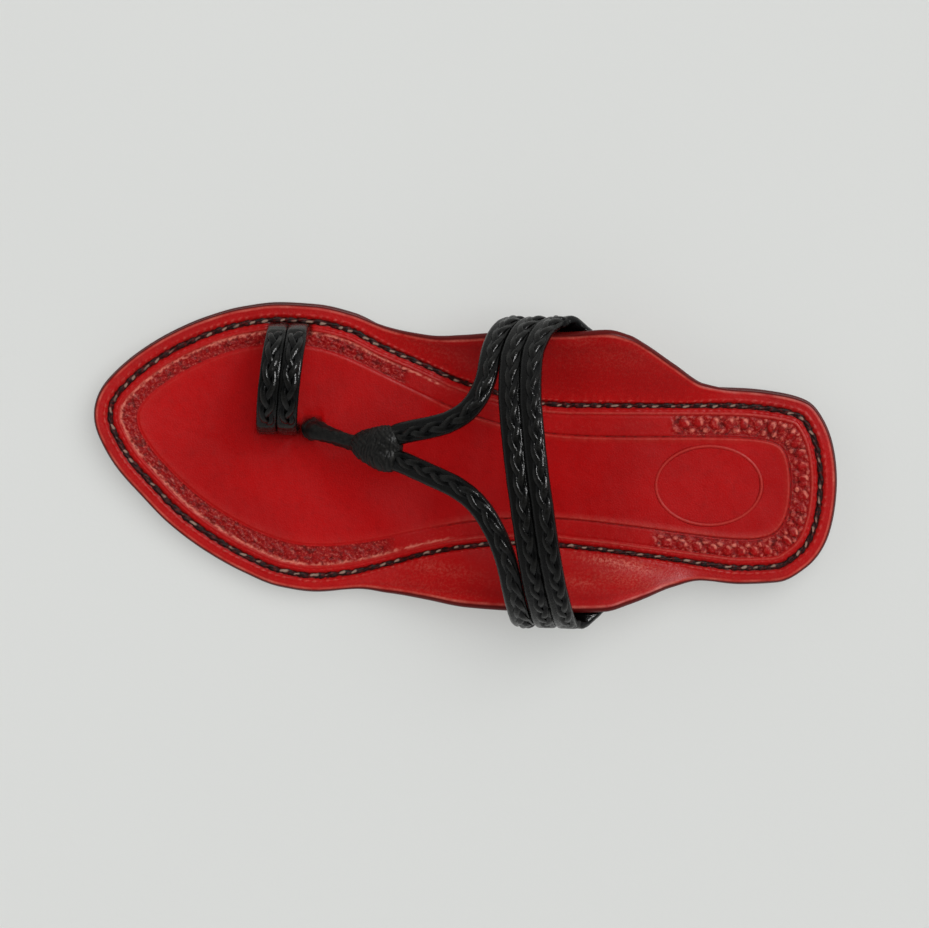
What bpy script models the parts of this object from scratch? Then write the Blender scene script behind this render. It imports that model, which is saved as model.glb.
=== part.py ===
"""Left kolhapuri sandal: a red leather sole with ears at the waist, and a black braided leather upper.

The toe points to -X, the heel to +X, the big toe's side is +Y and the floor is z = 0. Units are metres.
"""

import math
from collections import namedtuple

import bmesh
import bpy
import numpy as np
from mathutils import Vector

# Sole
SOLE_LENGTH = 0.258
BALL_WIDTH = 0.100
INSOLE_THICKNESS = 0.0032
OUTSOLE_THICKNESS = 0.0048
OUTSOLE_CHAMFER = 0.0007
HEEL_HEIGHT = 0.006
HEEL_INSET = 0.0006
HEEL_GROOVE = 0.0004
TOE_SPRING = 0.003
SEAM_MARGIN = 0.006
EAR_REACH = 0.020
EAR_LIFT = 0.016

# What keeps two pieces apart where they meet, and how loosely the straps go round an ear's edge
GAP = 0.0003
EDGE_SLACK = 0.0009

# Where the sole leaves the floor, as shares of its length from the toe
TOE_SPRING_END = 0.17
ARCH_START = 0.49
HEEL_BREAST = 0.745

# Straps
STRAND_WIDTH = 0.0074
STRAND_THICKNESS = 0.0038
TOE_STRAND_WIDTH = 0.0070
TOE_STRAND_THICKNESS = 0.0036
BRAID_PITCH = 0.0065
BRAID_RELIEF = 0.0009
BRAID_SLANT = 0.45
INSTEP_HEIGHT = 0.060
KNOT_HEIGHT = 0.031
TAIL_LENGTH = 0.010
TAIL_SLANT = 0.011
LOOP_HEIGHT = 0.0245
LOOP_LEG = 0.0075
SLOT_WALL = 0.001
POST_DIAMETER = 0.0056
ARMS_APART = 0.0012
KNOT_LENGTH = 0.0185
KNOT_WALL = 0.00125
KNOT_WRAP = 0.00285
KNOT_WIDTH = 2 * STRAND_WIDTH + ARMS_APART + 2 * KNOT_WALL
KNOT_THICKNESS = STRAND_THICKNESS + 2 * KNOT_WRAP
SOCKET_DEPTH = 0.0022

# How finely the forms are divided, and how far one degree past the straps' arch goes along a tail
STATIONS = 46
TIP_ANGLE = math.radians(2)
STRAP_STEP = BRAID_PITCH / 4
PATH_DEGREES = 3
METRES_PAST = 0.0004

# One row per section of the sole. "along" is the share of SOLE_LENGTH from the toe. "medial" and "lateral" are where
# the sole's edge lies from the centreline, as shares of BALL_WIDTH, and the ears are what stands out past it, as
# shares of EAR_REACH.
Section = namedtuple("Section", "along medial lateral medial_ear lateral_ear")
SECTIONS = (
    Section(0.000, 0.191, 0.191, 0.00, 0.00),
    Section(0.010, 0.283, 0.094, 0.00, 0.00),
    Section(0.030, 0.345, 0.005, 0.00, 0.00),
    Section(0.060, 0.410, -0.085, 0.00, 0.00),
    Section(0.100, 0.474, -0.192, 0.00, 0.00),
    Section(0.150, 0.531, -0.289, 0.00, 0.00),
    Section(0.200, 0.567, -0.361, 0.00, 0.00),
    Section(0.250, 0.582, -0.412, 0.00, 0.00),
    Section(0.300, 0.575, -0.429, 0.00, 0.00),
    Section(0.350, 0.546, -0.416, 0.00, 0.03),
    Section(0.400, 0.484, -0.388, 0.085, 0.22),
    Section(0.450, 0.428, -0.354, 0.23, 0.485),
    Section(0.500, 0.370, -0.330, 0.53, 0.715),
    Section(0.550, 0.329, -0.317, 0.79, 0.82),
    Section(0.600, 0.298, -0.315, 0.96, 0.85),
    Section(0.650, 0.290, -0.326, 1.005, 0.80),
    Section(0.690, 0.290, -0.336, 1.04, 0.73),
    Section(0.720, 0.290, -0.346, 0.945, 0.57),
    Section(0.740, 0.290, -0.353, 0.80, 0.445),
    Section(0.780, 0.290, -0.367, 0.44, 0.18),
    Section(0.820, 0.290, -0.380, 0.10, 0.025),
    Section(0.870, 0.287, -0.394, 0.00, 0.00),
    Section(0.920, 0.273, -0.388, 0.00, 0.00),
    Section(0.960, 0.243, -0.335, 0.00, 0.00),
    Section(0.985, 0.161, -0.251, 0.00, 0.00),
    Section(1.000, -0.037, -0.037, 0.00, 0.00),
)

# Shares of SOLE_LENGTH from the toe: where the straps' ridge is highest, and the stretch of the ears that they use
CROWN = 0.63
EAR_FROM = 0.42
EAR_TO = 0.76

# The middle of the instep band: the angle round the arch, from the medial side's 0 to the lateral side's 180
# degrees, and the share of SOLE_LENGTH from the toe.
BandRow = namedtuple("BandRow", "angle along")
BAND = (
    BandRow(0, 0.611),
    BandRow(25, 0.586),
    BandRow(40, 0.5765),
    BandRow(55, 0.5745),
    BandRow(80, 0.581),
    BandRow(100, 0.590),
    BandRow(130, 0.6045),
    BandRow(150, 0.6145),
    BandRow(180, 0.6255),
)

# The two arms that leave the band for the knot: the share of SOLE_LENGTH from the toe, and where the arm lies across
# the arch, from the lateral side's -1 to the medial side's 1. Each ends inside the knot. The arms leave at an angle
# round the arch, and their bends are rounded from a little above their feet.
ArmRow = namedtuple("ArmRow", "along across")
MEDIAL_ARM = (
    ArmRow(0.507, 0.435),
    ArmRow(0.4795, 0.360),
    ArmRow(0.4475, 0.304),
)
LATERAL_ARM = (
    ArmRow(0.540, -0.325),
    ArmRow(0.522, -0.184),
    ArmRow(0.495, -0.070),
    ArmRow(0.4635, -0.014),
)
MEDIAL_ARM_LEAVES = 50
LATERAL_ARM_LEAVES = 124
ARM_SOFT_FROM = 20
ARM_SOFTNESS = 14
POST_SOFTNESS = 8

# Places on the sole, as shares of SOLE_LENGTH from the toe and of BALL_WIDTH from the centreline
Place = namedtuple("Place", "along across")
KNOT = Place(0.3845, 0.094)
LOOP_INNER_FOOT = Place(0.2505, 0.146)
LOOP_OUTER_FOOT = Place(0.2655, 0.492)

# The knot's form from the toe's end to the heel's: the share of its length, and of its full width and thickness
KnotRow = namedtuple("KnotRow", "along width thickness")
KNOT_FORM = (
    KnotRow(0.00, 0.49, 0.88),
    KnotRow(0.20, 0.70, 1.04),
    KnotRow(0.60, 1.00, 1.14),
    KnotRow(1.00, 1.04, 0.98),
)
KNOT_SIDES = 8

# A strand's face: the share of its half width from the middle, and of its half thickness
FacePoint = namedtuple("FacePoint", "across out")
STRAND_FACE = (
    FacePoint(-0.94, 0.10),
    FacePoint(-0.50, 0.88),
    FacePoint(0.00, 0.80),
    FacePoint(0.50, 0.88),
    FacePoint(0.94, 0.10),
)
STRAND_EDGE = 0.94
STRAND_BACK_EDGE = 0.6

# The heel's side from the floor up: the share of its height, and whether it is in the groove between its two lifts
HEEL_SIDE = ((0, False), (0.44, False), (0.5, True), (0.56, False), (1, False))

# A socket's corners, as shares of its half width and half height
SOCKET_CORNERS = ((-0.9, -1), (-1, -0.7), (-1, 0.7), (-0.9, 1), (0.9, 1), (1, 0.7), (1, -0.7), (0.9, -1))

MATERIALS = {
    "red_leather": ((0.42, 0.012, 0.010), 0.42),
    "sole_leather": ((0.19, 0.040, 0.020), 0.60),
    "black_leather": ((0.012, 0.012, 0.011), 0.38),
}


def smoothstep(value):
    value = np.clip(value, 0.0, 1.0)
    return value * value * (3 - 2 * value)


def curve_through(knots, values):
    """A smooth function through rows of values that doesn't overshoot them (a monotone cubic)."""
    knots = np.asarray(knots, float)
    values = np.asarray(values, float)
    single = values.ndim == 1
    rows = values[:, None] if single else values
    grades = np.diff(rows, axis=0) / np.diff(knots)[:, None]
    before, after = grades[:-1], grades[1:]
    turned = before * after <= 0
    inner = np.where(turned, 0.0, 2 * before * after / np.where(turned, 1.0, before + after))
    tangents = np.vstack([grades[:1], inner, grades[-1:]])

    def at(where):
        where = np.clip(np.atleast_1d(np.asarray(where, float)), knots[0], knots[-1])
        row = np.clip(np.searchsorted(knots, where) - 1, 0, len(knots) - 2)
        width = (knots[row + 1] - knots[row])[:, None]
        part = (where - knots[row])[:, None] / width
        rest = 1 - part
        found = (
            rows[row] * rest * rest * (1 + 2 * part)
            + rows[row + 1] * part * part * (3 - 2 * part)
            + tangents[row] * width * part * rest * rest
            - tangents[row + 1] * width * part * part * rest
        )
        return found[:, 0] if single else found

    return at


def x_of(along):
    return (along - 0.5) * SOLE_LENGTH


def along_of(x):
    return x / SOLE_LENGTH + 0.5


def round_angle(along):
    """The angle round the sole, 0 at the toe and pi at the heel, that gives its tips round ends."""
    return np.arccos(np.clip(1 - 2 * np.asarray(along, float), -1, 1))


def make_outline():
    """The sole's edge as a closed curve: y for an angle from -pi to pi, where the medial side is positive. One row
    more stands past the heel's tip at each end, so that the curve closes there smoothly."""
    angles, across = [], []
    for row in reversed(SECTIONS[1:]):
        angles.append(-float(round_angle(row.along)))
        across.append(row.lateral)
    for row in SECTIONS:
        angles.append(float(round_angle(row.along)))
        across.append(row.medial)
    turn = 2 * math.pi
    angles = [angles[-2] - turn] + angles + [angles[1] + turn]
    across = [across[-2]] + across + [across[1]]
    return curve_through(angles, np.array(across) * BALL_WIDTH)


def make_ears():
    angles = [float(round_angle(row.along)) for row in SECTIONS]
    medial = curve_through(angles, np.array([row.medial_ear for row in SECTIONS]))
    lateral = curve_through(angles, np.array([row.lateral_ear for row in SECTIONS]))
    return medial, lateral


OUTLINE = make_outline()
MEDIAL_EAR, LATERAL_EAR = make_ears()


def rise(x):
    """How high the outsole's underside stands over the floor."""
    along = along_of(x)
    toe = TOE_SPRING * np.clip((TOE_SPRING_END - along) / TOE_SPRING_END, 0, 1) ** 2
    heel = HEEL_HEIGHT * smoothstep((along - ARCH_START) / (HEEL_BREAST - ARCH_START))
    return toe + heel


def insole_underside(x):
    return rise(x) + OUTSOLE_THICKNESS + GAP


def insole_top(x):
    return insole_underside(x) + INSOLE_THICKNESS


def ear_profile(share):
    """How an ear's leather curls up between the laced seam and the ear's edge."""
    share = np.clip(share, 0, 1)
    return 0.6 * smoothstep(share) + 0.4 * share * share


# Where a section's points stand between the lateral edge and the medial edge
ACROSS = np.array([0, 0.05, 0.11, 0.18, 0.26, 0.36, 0.5, 0.64, 0.74, 0.82, 0.89, 0.95, 1])


def insole_section(x):
    """The insole at one station: its top and its underside as (y, z) from the lateral edge to the medial edge."""
    angle = float(round_angle(along_of(x)))
    lateral, medial = OUTLINE([-angle, angle])
    medial_share, lateral_share = MEDIAL_EAR(angle)[0], LATERAL_EAR(angle)[0]
    medial_edge = medial + EAR_REACH * medial_share
    lateral_edge = lateral - EAR_REACH * lateral_share
    y = lateral_edge + (medial_edge - lateral_edge) * ACROSS
    medial_fold = (y - medial + SEAM_MARGIN) / (medial_edge - medial + SEAM_MARGIN)
    lateral_fold = (lateral + SEAM_MARGIN - y) / (lateral + SEAM_MARGIN - lateral_edge)
    lift = EAR_LIFT * (medial_share * ear_profile(medial_fold) + lateral_share * ear_profile(lateral_fold))
    under = np.column_stack([y, insole_underside(x) + lift])
    run = np.gradient(under, axis=0)
    run /= np.linalg.norm(run, axis=1)[:, None]
    normal = np.column_stack([-run[:, 1], run[:, 0]])
    top = under + normal * INSOLE_THICKNESS
    return top, under


def make_material(name):
    colour, roughness = MATERIALS[name]
    material = bpy.data.materials.new(name)
    material.use_nodes = True
    shader = material.node_tree.nodes["Principled BSDF"]
    shader.inputs["Base Color"].default_value = (*colour, 1)
    shader.inputs["Roughness"].default_value = roughness
    shader.inputs["Metallic"].default_value = 0
    return material


def add_object(name, mesh_data, material, collection):
    """Links a finished mesh as one named piece, shaded smooth where it is round."""
    made = bpy.data.objects.new(name, mesh_data)
    collection.objects.link(made)
    mesh_data.materials.clear()
    mesh_data.materials.append(bpy.data.materials[material])
    mesh_data.shade_smooth()
    mesh_data.set_sharp_from_angle(angle=math.radians(40))
    return made


def loft(rings):
    """A mesh through rings of as many points each, closed round each ring and with its two ends filled."""
    shape = bmesh.new()
    rows = [[shape.verts.new(point) for point in ring] for ring in rings]
    count = len(rows[0])
    for first, second in zip(rows, rows[1:]):
        for i in range(count):
            j = (i + 1) % count
            shape.faces.new((first[i], first[j], second[j], second[i]))
    shape.faces.new(rows[0])
    shape.faces.new(reversed(rows[-1]))
    bmesh.ops.recalc_face_normals(shape, faces=shape.faces)
    made = bpy.data.meshes.new("loft")
    shape.to_mesh(made)
    shape.free()
    return made


def cut(target, cutters, cutter_collection):
    """Cuts each cutter out of the target with a Boolean, and keeps the cutter as a hidden guide."""
    for cutter in cutters:
        for owner in cutter.users_collection:
            owner.objects.unlink(cutter)
        cutter_collection.objects.link(cutter)
        cutter.hide_render = True
        cutter.display_type = "WIRE"
        modifier = target.modifiers.new("cut_" + cutter.name, "BOOLEAN")
        modifier.operation = "DIFFERENCE"
        modifier.object = cutter


def build_insole(parts):
    rings = []
    for angle in np.linspace(TIP_ANGLE, math.pi - TIP_ANGLE, STATIONS):
        x = -math.cos(angle) * SOLE_LENGTH / 2
        top, under = insole_section(x)
        ring = [(x, y, z) for y, z in top] + [(x, y, z) for y, z in under[::-1]]
        rings.append(ring)
    return add_object("insole", loft(rings), "red_leather", parts)


def outline_ring(first, inset):
    """The sole's medial and lateral edge, moved inwards, from the given angle to the heel's end."""
    angles = np.linspace(first, math.pi - TIP_ANGLE, STATIONS)
    turn = 0.001
    sides = []
    for sign in (1, -1):
        here = sign * angles
        x = -np.cos(here) * SOLE_LENGTH / 2
        y = OUTLINE(here)
        along = np.sin(here) * SOLE_LENGTH / 2
        across = (OUTLINE(here + turn) - OUTLINE(here - turn)) / (2 * turn)
        length = np.hypot(along, across)
        sides.append(np.column_stack([x + inset * across / length, y - inset * along / length]))
    return sides


def slab(first, profile, height_of):
    """A flat layer of the sole with quads across its two faces. Each profile row is (inset from the edge, share of
    the way from bottom to top)."""
    levels = []
    for inset, share in profile:
        medial, lateral = outline_ring(first, inset)
        ring = np.vstack([medial, lateral[::-1]])
        levels.append([(x, y, height_of(x, share)) for x, y in ring])
    shape = bmesh.new()
    rows = [[shape.verts.new(point) for point in level] for level in levels]
    count = len(rows[0])
    for lower, upper in zip(rows, rows[1:]):
        for i in range(count):
            j = (i + 1) % count
            shape.faces.new((lower[i], lower[j], upper[j], upper[i]))
    for row in (rows[0], rows[-1]):
        for i in range(count // 2 - 1):
            shape.faces.new((row[i], row[i + 1], row[count - 2 - i], row[count - 1 - i]))
    bmesh.ops.recalc_face_normals(shape, faces=shape.faces)
    made = bpy.data.meshes.new("slab")
    shape.to_mesh(made)
    shape.free()
    return made


def build_outsole(parts):
    chamfer = OUTSOLE_CHAMFER / OUTSOLE_THICKNESS
    profile = ((OUTSOLE_CHAMFER, 0), (0, chamfer), (0, 1 - chamfer), (OUTSOLE_CHAMFER / 2, 1))
    mesh = slab(TIP_ANGLE, profile, lambda x, share: float(rise(x)) + OUTSOLE_THICKNESS * share)
    return add_object("outsole", mesh, "sole_leather", parts)


def build_heel(parts):
    """Two stacked lifts, which a shallow groove tells apart."""
    top = HEEL_HEIGHT - GAP
    profile = [(HEEL_INSET + HEEL_GROOVE * grooved, share) for share, grooved in HEEL_SIDE]
    mesh = slab(float(round_angle(HEEL_BREAST)), profile, lambda x, share: top * share)
    return add_object("heel", mesh, "sole_leather", parts)


def braid_height(across, along):
    """How far a braid's face stands out: two columns of slanted lobes, staggered by half a lobe."""
    stagger = 0.5 if across > 0 else 0
    lobe = math.cos(2 * math.pi * (along / BRAID_PITCH + stagger - BRAID_SLANT * abs(across)))
    return BRAID_RELIEF / 2 * lobe * min(1, 3 * abs(across))


def strand_section(strands, width, thickness, along):
    """The section of a braided strap of one or more strands side by side, as a ring of (across, out) pairs."""
    half = thickness / 2
    ring = []
    for strand in range(strands):
        middle = (strand - (strands - 1) / 2) * width
        for point in STRAND_FACE:
            raised = braid_height(point.across, along + strand * BRAID_PITCH / 2)
            ring.append((middle + point.across * width / 2, half * point.out + raised))
    for place in np.linspace(STRAND_EDGE, -STRAND_EDGE, 2 * strands + 1):
        share = STRAND_BACK_EDGE if abs(place) == STRAND_EDGE else 1
        ring.append((place * strands * width / 2, -half * share))
    return ring


def unit(vector):
    return vector / np.linalg.norm(vector)


def even_path(points, step):
    """The rows of a path at even steps along its first three columns, which are places."""
    lengths = np.concatenate([[0], np.cumsum(np.linalg.norm(np.diff(points[:, :3], axis=0), axis=1))])
    count = max(4, int(round(lengths[-1] / step)))
    return curve_through(lengths, points)(np.linspace(0, lengths[-1], count + 1))


def soften(rows, passes):
    """Rounds a path's bends by averaging each row with its neighbours. Its two ends stay."""
    for _ in range(passes):
        rows = np.vstack([rows[:1], (rows[:-2] + 2 * rows[1:-1] + rows[2:]) / 4, rows[-1:]])
    return rows


# The ears' undersides from the lower corner inwards, at even steps along the sole, for the straps to lie on
EAR_STATIONS = np.linspace(x_of(EAR_FROM), x_of(EAR_TO), 48)
EAR_UNDERSIDES = np.array([insole_section(x)[1] for x in EAR_STATIONS])
KNOT_X = x_of(KNOT.along)
KNOT_Y = KNOT.across * BALL_WIDTH


def ear_underside(x, side):
    """An ear's underside as (y, z), from its lower corner inwards. The medial side is 1 and the lateral side -1."""
    place = np.clip((x - EAR_STATIONS[0]) / (EAR_STATIONS[1] - EAR_STATIONS[0]), 0, len(EAR_STATIONS) - 1.001)
    row = int(place)
    part = place - row
    under = EAR_UNDERSIDES[row] * (1 - part) + EAR_UNDERSIDES[row + 1] * part
    return under[::-1] if side > 0 else under


def crown_height(x):
    """How high the straps' ridge stands over the floor, which falls from the band to the knot."""
    share = min((x - KNOT_X) / (x_of(CROWN) - KNOT_X), 1)
    return KNOT_HEIGHT + (INSTEP_HEIGHT - KNOT_HEIGHT) * share * (3 - share) / 2


def arch_at(x):
    """The middle, half width and feet of the straps' arch at one station: (middle, half, medial z, lateral z)."""
    medial, lateral = ear_underside(x, 1)[0], ear_underside(x, -1)[0]
    half = (medial[0] - lateral[0]) / 2 + GAP + EDGE_SLACK + STRAND_THICKNESS / 2
    return (medial[0] + lateral[0]) / 2, half, medial[1], lateral[1]


def strap_surface(x, turn):
    """The surface that the middle of the straps' thickness lies on. Turn is in degrees: 0 to 180 goes over the foot
    from the medial side to the lateral side, and past either end it goes round the ear's edge and in under it."""
    if 0 <= turn <= 180:
        middle, half, medial_z, lateral_z = arch_at(x)
        share = math.cos(math.radians(turn))
        base = (medial_z + lateral_z) / 2 + (medial_z - lateral_z) / 2 * share
        return np.array([x, middle + half * share, base + (crown_height(x) - base) * math.sin(math.radians(turn))])
    side = 1 if turn < 0 else -1
    past = (-turn if side > 0 else turn - 180) * METRES_PAST
    reach = GAP + STRAND_THICKNESS / 2 + EDGE_SLACK * max(0, 1 - past / TAIL_LENGTH)
    under = ear_underside(x, side)
    y, z = under[0]
    slope = math.atan2(z - under[2, 1], side * (y - under[2, 0]))
    corner = reach * (math.pi / 2 - slope)
    lean = min(past / reach, corner / reach)
    inward = max(past - corner, 0)
    run = np.concatenate([[0], np.cumsum(np.linalg.norm(np.diff(under, axis=0), axis=1))])
    y, z = np.interp(inward, run, under[:, 0]), np.interp(inward, run, under[:, 1])
    return np.array([x, y + side * reach * math.cos(lean), z - reach * math.sin(lean)])


def loop_surface(x, turn):
    """The surface that the middle of the toe loop's thickness lies on, in degrees as for the straps. Past either end
    the loop's leg goes straight down into the insole."""
    low, high = LOOP_INNER_FOOT.across * BALL_WIDTH, LOOP_OUTER_FOOT.across * BALL_WIDTH
    floor = float(insole_top(x_of(LOOP_INNER_FOOT.along)))
    over = min(max(turn, 0), 180)
    past = abs(turn - over) * METRES_PAST
    rise_over = LOOP_HEIGHT + TOE_STRAND_THICKNESS / 2 - LOOP_LEG
    height = floor + LOOP_LEG + rise_over * math.sin(math.radians(over)) - past
    return np.array([x, (low + high) / 2 + (high - low) / 2 * math.cos(math.radians(over)), height])


def slopes(surface, x, turn):
    """A surface's directions along x and along the turn, each per unit of its own measure."""
    small_x, small_turn = 0.0005, 0.5
    along_x = (surface(x + small_x, turn) - surface(x - small_x, turn)) / (2 * small_x)
    along_turn = (surface(x, turn + small_turn) - surface(x, turn - small_turn)) / (2 * small_turn)
    return along_x, along_turn, unit(np.cross(along_turn, along_x))


def placed(surface, rows):
    """Rows of (x, turn) with their places in front: (place x, y, z, x, turn)."""
    return np.array([[*surface(x, turn), x, turn] for x, turn in rows])


def beside(surface, row, run, across):
    """The (x, turn) that lies across to the side of a point of a path that runs the given way."""
    along_x, along_turn, out = slopes(surface, *row[3:])
    sideways = unit(np.cross(run, out)) * across
    shift = np.linalg.lstsq(np.column_stack([along_x, along_turn]), sideways, rcond=None)[0]
    return row[3] + shift[0], row[4] + shift[1]


def braided_strap(surface, rows, strands, width, thickness):
    """A braided strap whose middle follows rows of (x, turn) on the surface, and whose face bends with it."""
    path = even_path(placed(surface, rows), STRAP_STEP)
    runs = np.gradient(path[:, :3], axis=0)
    rings = []
    for i, (row, run) in enumerate(zip(path, runs)):
        ring = []
        for across, out in strand_section(strands, width, thickness, i * STRAP_STEP):
            spot = beside(surface, row, run, across)
            outward = slopes(surface, *spot)[2]
            ring.append(tuple(surface(*spot) + outward * out))
        rings.append(ring)
    return loft(rings)


def band_rows():
    """The instep band's middle line, from the medial tail to the lateral tail, as (x, turn)."""
    line = curve_through([row.angle for row in BAND], np.array([row.along for row in BAND]))
    last = TAIL_LENGTH / METRES_PAST
    rows = []
    for turn in np.linspace(-last, 180 + last, int((180 + 2 * last) / PATH_DEGREES)):
        past = max(-turn, turn - 180, 0) / last
        rows.append((x_of(line(turn)[0]) + TAIL_SLANT * past, turn))
    return np.array(rows)


def front_of_band(medial):
    """The line just in front of the band, where the forked strap lies against it, as (x, turn) from its tail up."""
    path = even_path(placed(strap_surface, band_rows()), STRAP_STEP)
    runs = np.gradient(path[:, :3], axis=0)
    rows = np.array([beside(strap_surface, row, run, 1.5 * STRAND_WIDTH + GAP) for row, run in zip(path, runs)])
    return rows if medial else rows[::-1]


def arm_end(medial):
    """Where an arm of the forked strap ends inside the knot, as (x, turn)."""
    x = KNOT_X + KNOT_LENGTH / 2 - SOCKET_DEPTH
    y = KNOT_Y + (STRAND_WIDTH + ARMS_APART) / 2 * (1 if medial else -1)
    middle, half, _, _ = arch_at(x)
    return x, math.degrees(math.acos((y - middle) / half))


def arm_rows(table, leaves, medial):
    """One arm of the forked strap: up from its tail beside the band, then forwards to the knot, as (x, turn)."""
    along_band = front_of_band(medial)
    turns = along_band[:, 1] if medial else 180 - along_band[:, 1]
    leave = leaves if medial else 180 - leaves
    near = along_band[:int(np.argmax(turns > leave))]
    ahead = [(x_of(row.along), math.degrees(math.acos(row.across))) for row in table]
    path = even_path(placed(strap_surface, np.vstack([near, ahead, [arm_end(medial)]])), STRAP_STEP)
    bend = int(np.argmax((path[:, 4] if medial else 180 - path[:, 4]) > ARM_SOFT_FROM))
    return np.vstack([path[:bend], soften(path[bend:], ARM_SOFTNESS)])[:, 3:]


ARMS = (
    ("front_strap_medial", MEDIAL_ARM, MEDIAL_ARM_LEAVES, True),
    ("front_strap_lateral", LATERAL_ARM, LATERAL_ARM_LEAVES, False),
)


def build_instep_band(parts):
    mesh = braided_strap(strap_surface, band_rows(), 2, STRAND_WIDTH, STRAND_THICKNESS)
    return add_object("instep_band", mesh, "black_leather", parts)


def build_arms(parts):
    for name, table, leaves, medial in ARMS:
        mesh = braided_strap(strap_surface, arm_rows(table, leaves, medial), 1, STRAND_WIDTH, STRAND_THICKNESS)
        add_object(name, mesh, "black_leather", parts)


def loop_rows():
    """The toe loop's middle line, from its foot at the seam to its foot beside the toe post, as (x, turn)."""
    last = (LOOP_LEG + INSOLE_THICKNESS - GAP) / METRES_PAST
    inner, outer = x_of(LOOP_INNER_FOOT.along), x_of(LOOP_OUTER_FOOT.along)
    rows = []
    for turn in np.linspace(-last, 180 + last, int((180 + 2 * last) / PATH_DEGREES)):
        share = (1 - math.cos(math.radians(min(max(turn, 0), 180)))) / 2
        rows.append((outer + (inner - outer) * share, turn))
    return np.array(rows)


def build_toe_loop(parts):
    mesh = braided_strap(loop_surface, loop_rows(), 2, TOE_STRAND_WIDTH, TOE_STRAND_THICKNESS)
    return add_object("toe_loop", mesh, "black_leather", parts)


def post_hole():
    """The middle of the toe post's hole in the insole, just behind the toe loop's inner slot."""
    x = x_of(LOOP_INNER_FOOT.along) + TOE_STRAND_WIDTH + GAP + SLOT_WALL + POST_DIAMETER / 2 + GAP
    return np.array([x, LOOP_INNER_FOOT.across * BALL_WIDTH, float(insole_top(x))])


def knot_frame():
    """The knot's middle, and its directions: towards the toe post, across, and up."""
    middle = np.array([KNOT_X, KNOT_Y, KNOT_HEIGHT])
    back_x = KNOT_X + KNOT_LENGTH
    back = np.array([back_x, KNOT_Y, crown_height(back_x)])
    forward = post_hole()
    forward[2] = (forward[2] + KNOT_HEIGHT) / 2
    axis = unit(forward - back)
    across = unit(np.cross([0, 0, 1], axis))
    return middle, axis, across, np.cross(axis, across)


def post_path():
    """The toe post's middle line, from inside the insole up to inside the knot."""
    hole = post_hole()
    middle, axis, _, _ = knot_frame()
    end = middle + axis * (KNOT_LENGTH / 2 - SOCKET_DEPTH)
    foot = hole - [0, 0, INSOLE_THICKNESS - GAP]
    above = hole + [0, 0, POST_DIAMETER]
    return soften(even_path(np.array([foot, hole, above, end]), POST_DIAMETER / 4), POST_SOFTNESS)


def tube(name, points, diameter, collection):
    """A round cord: a curve with a bevel, made a mesh with its caps welded."""
    curve = bpy.data.curves.new(name + "_line", "CURVE")
    curve.dimensions = "3D"
    curve.bevel_depth = diameter / 2
    curve.bevel_resolution = 2
    curve.use_fill_caps = True
    spline = curve.splines.new("POLY")
    spline.points.add(len(points) - 1)
    for point, place in zip(spline.points, points):
        point.co = (*place, 1)
    guide = bpy.data.objects.new(name + "_guide", curve)
    collection.objects.link(guide)
    bpy.context.view_layer.update()
    graph = bpy.context.evaluated_depsgraph_get()
    mesh = bpy.data.meshes.new_from_object(guide.evaluated_get(graph))
    shape = bmesh.new()
    shape.from_mesh(mesh)
    bmesh.ops.remove_doubles(shape, verts=shape.verts, dist=0.00001)
    bmesh.ops.recalc_face_normals(shape, faces=shape.faces)
    shape.to_mesh(mesh)
    shape.free()
    bpy.data.objects.remove(guide)
    return add_object(name, mesh, "black_leather", collection)


def build_toe_post(parts):
    return tube("toe_post", post_path(), POST_DIAMETER, parts)


def arm_socket(name, table, leaves, medial, parts):
    """A cutter a little larger than an arm's end, along the arm's last stretch."""
    path = even_path(placed(strap_surface, arm_rows(table, leaves, medial)), STRAP_STEP)
    runs = np.gradient(path[:, :3], axis=0)
    half_width = STRAND_WIDTH / 2 + GAP
    half_height = STRAND_THICKNESS / 2 + BRAID_RELIEF / 2 + GAP
    rings = []
    for i in (-7, -5, -3, -1):
        out = slopes(strap_surface, *path[i, 3:])[2]
        run = unit(runs[i])
        across = unit(np.cross(run, out))
        centre = path[i, :3] + (run * GAP if i == -1 else 0)
        ring = [tuple(centre + across * half_width * a + out * half_height * o) for a, o in SOCKET_CORNERS]
        rings.append(ring)
    return add_object(name, loft(rings), "black_leather", parts)


def build_knot(parts, cutters):
    """A wrapped lump, narrow at the toe post and wide where the two arms go in, with a socket for each."""
    middle, axis, across, up = knot_frame()
    rings = []
    for row in KNOT_FORM:
        centre = middle + axis * KNOT_LENGTH * (0.5 - row.along)
        sideways = across * KNOT_WIDTH / 2 * row.width
        upwards = up * KNOT_THICKNESS / 2 * row.thickness
        turns = [2 * math.pi * (step + 0.5) / KNOT_SIDES for step in range(KNOT_SIDES)]
        rings.append([tuple(centre + sideways * math.cos(turn) + upwards * math.sin(turn)) for turn in turns])
    knot = add_object("knot", loft(rings), "black_leather", parts)
    soft = knot.modifiers.new("soft", "SUBSURF")
    soft.levels = 1
    soft.render_levels = 1
    sockets = [arm_socket(name.replace("front_strap", "socket"), table, leaves, medial, parts)
               for name, table, leaves, medial in ARMS]
    path = post_path()
    path = np.vstack([path, path[-1] + unit(path[-1] - path[-2]) * GAP])
    sockets.append(tube("socket_post", path, POST_DIAMETER + 2 * GAP, parts))
    cut(knot, sockets, cutters)


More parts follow.
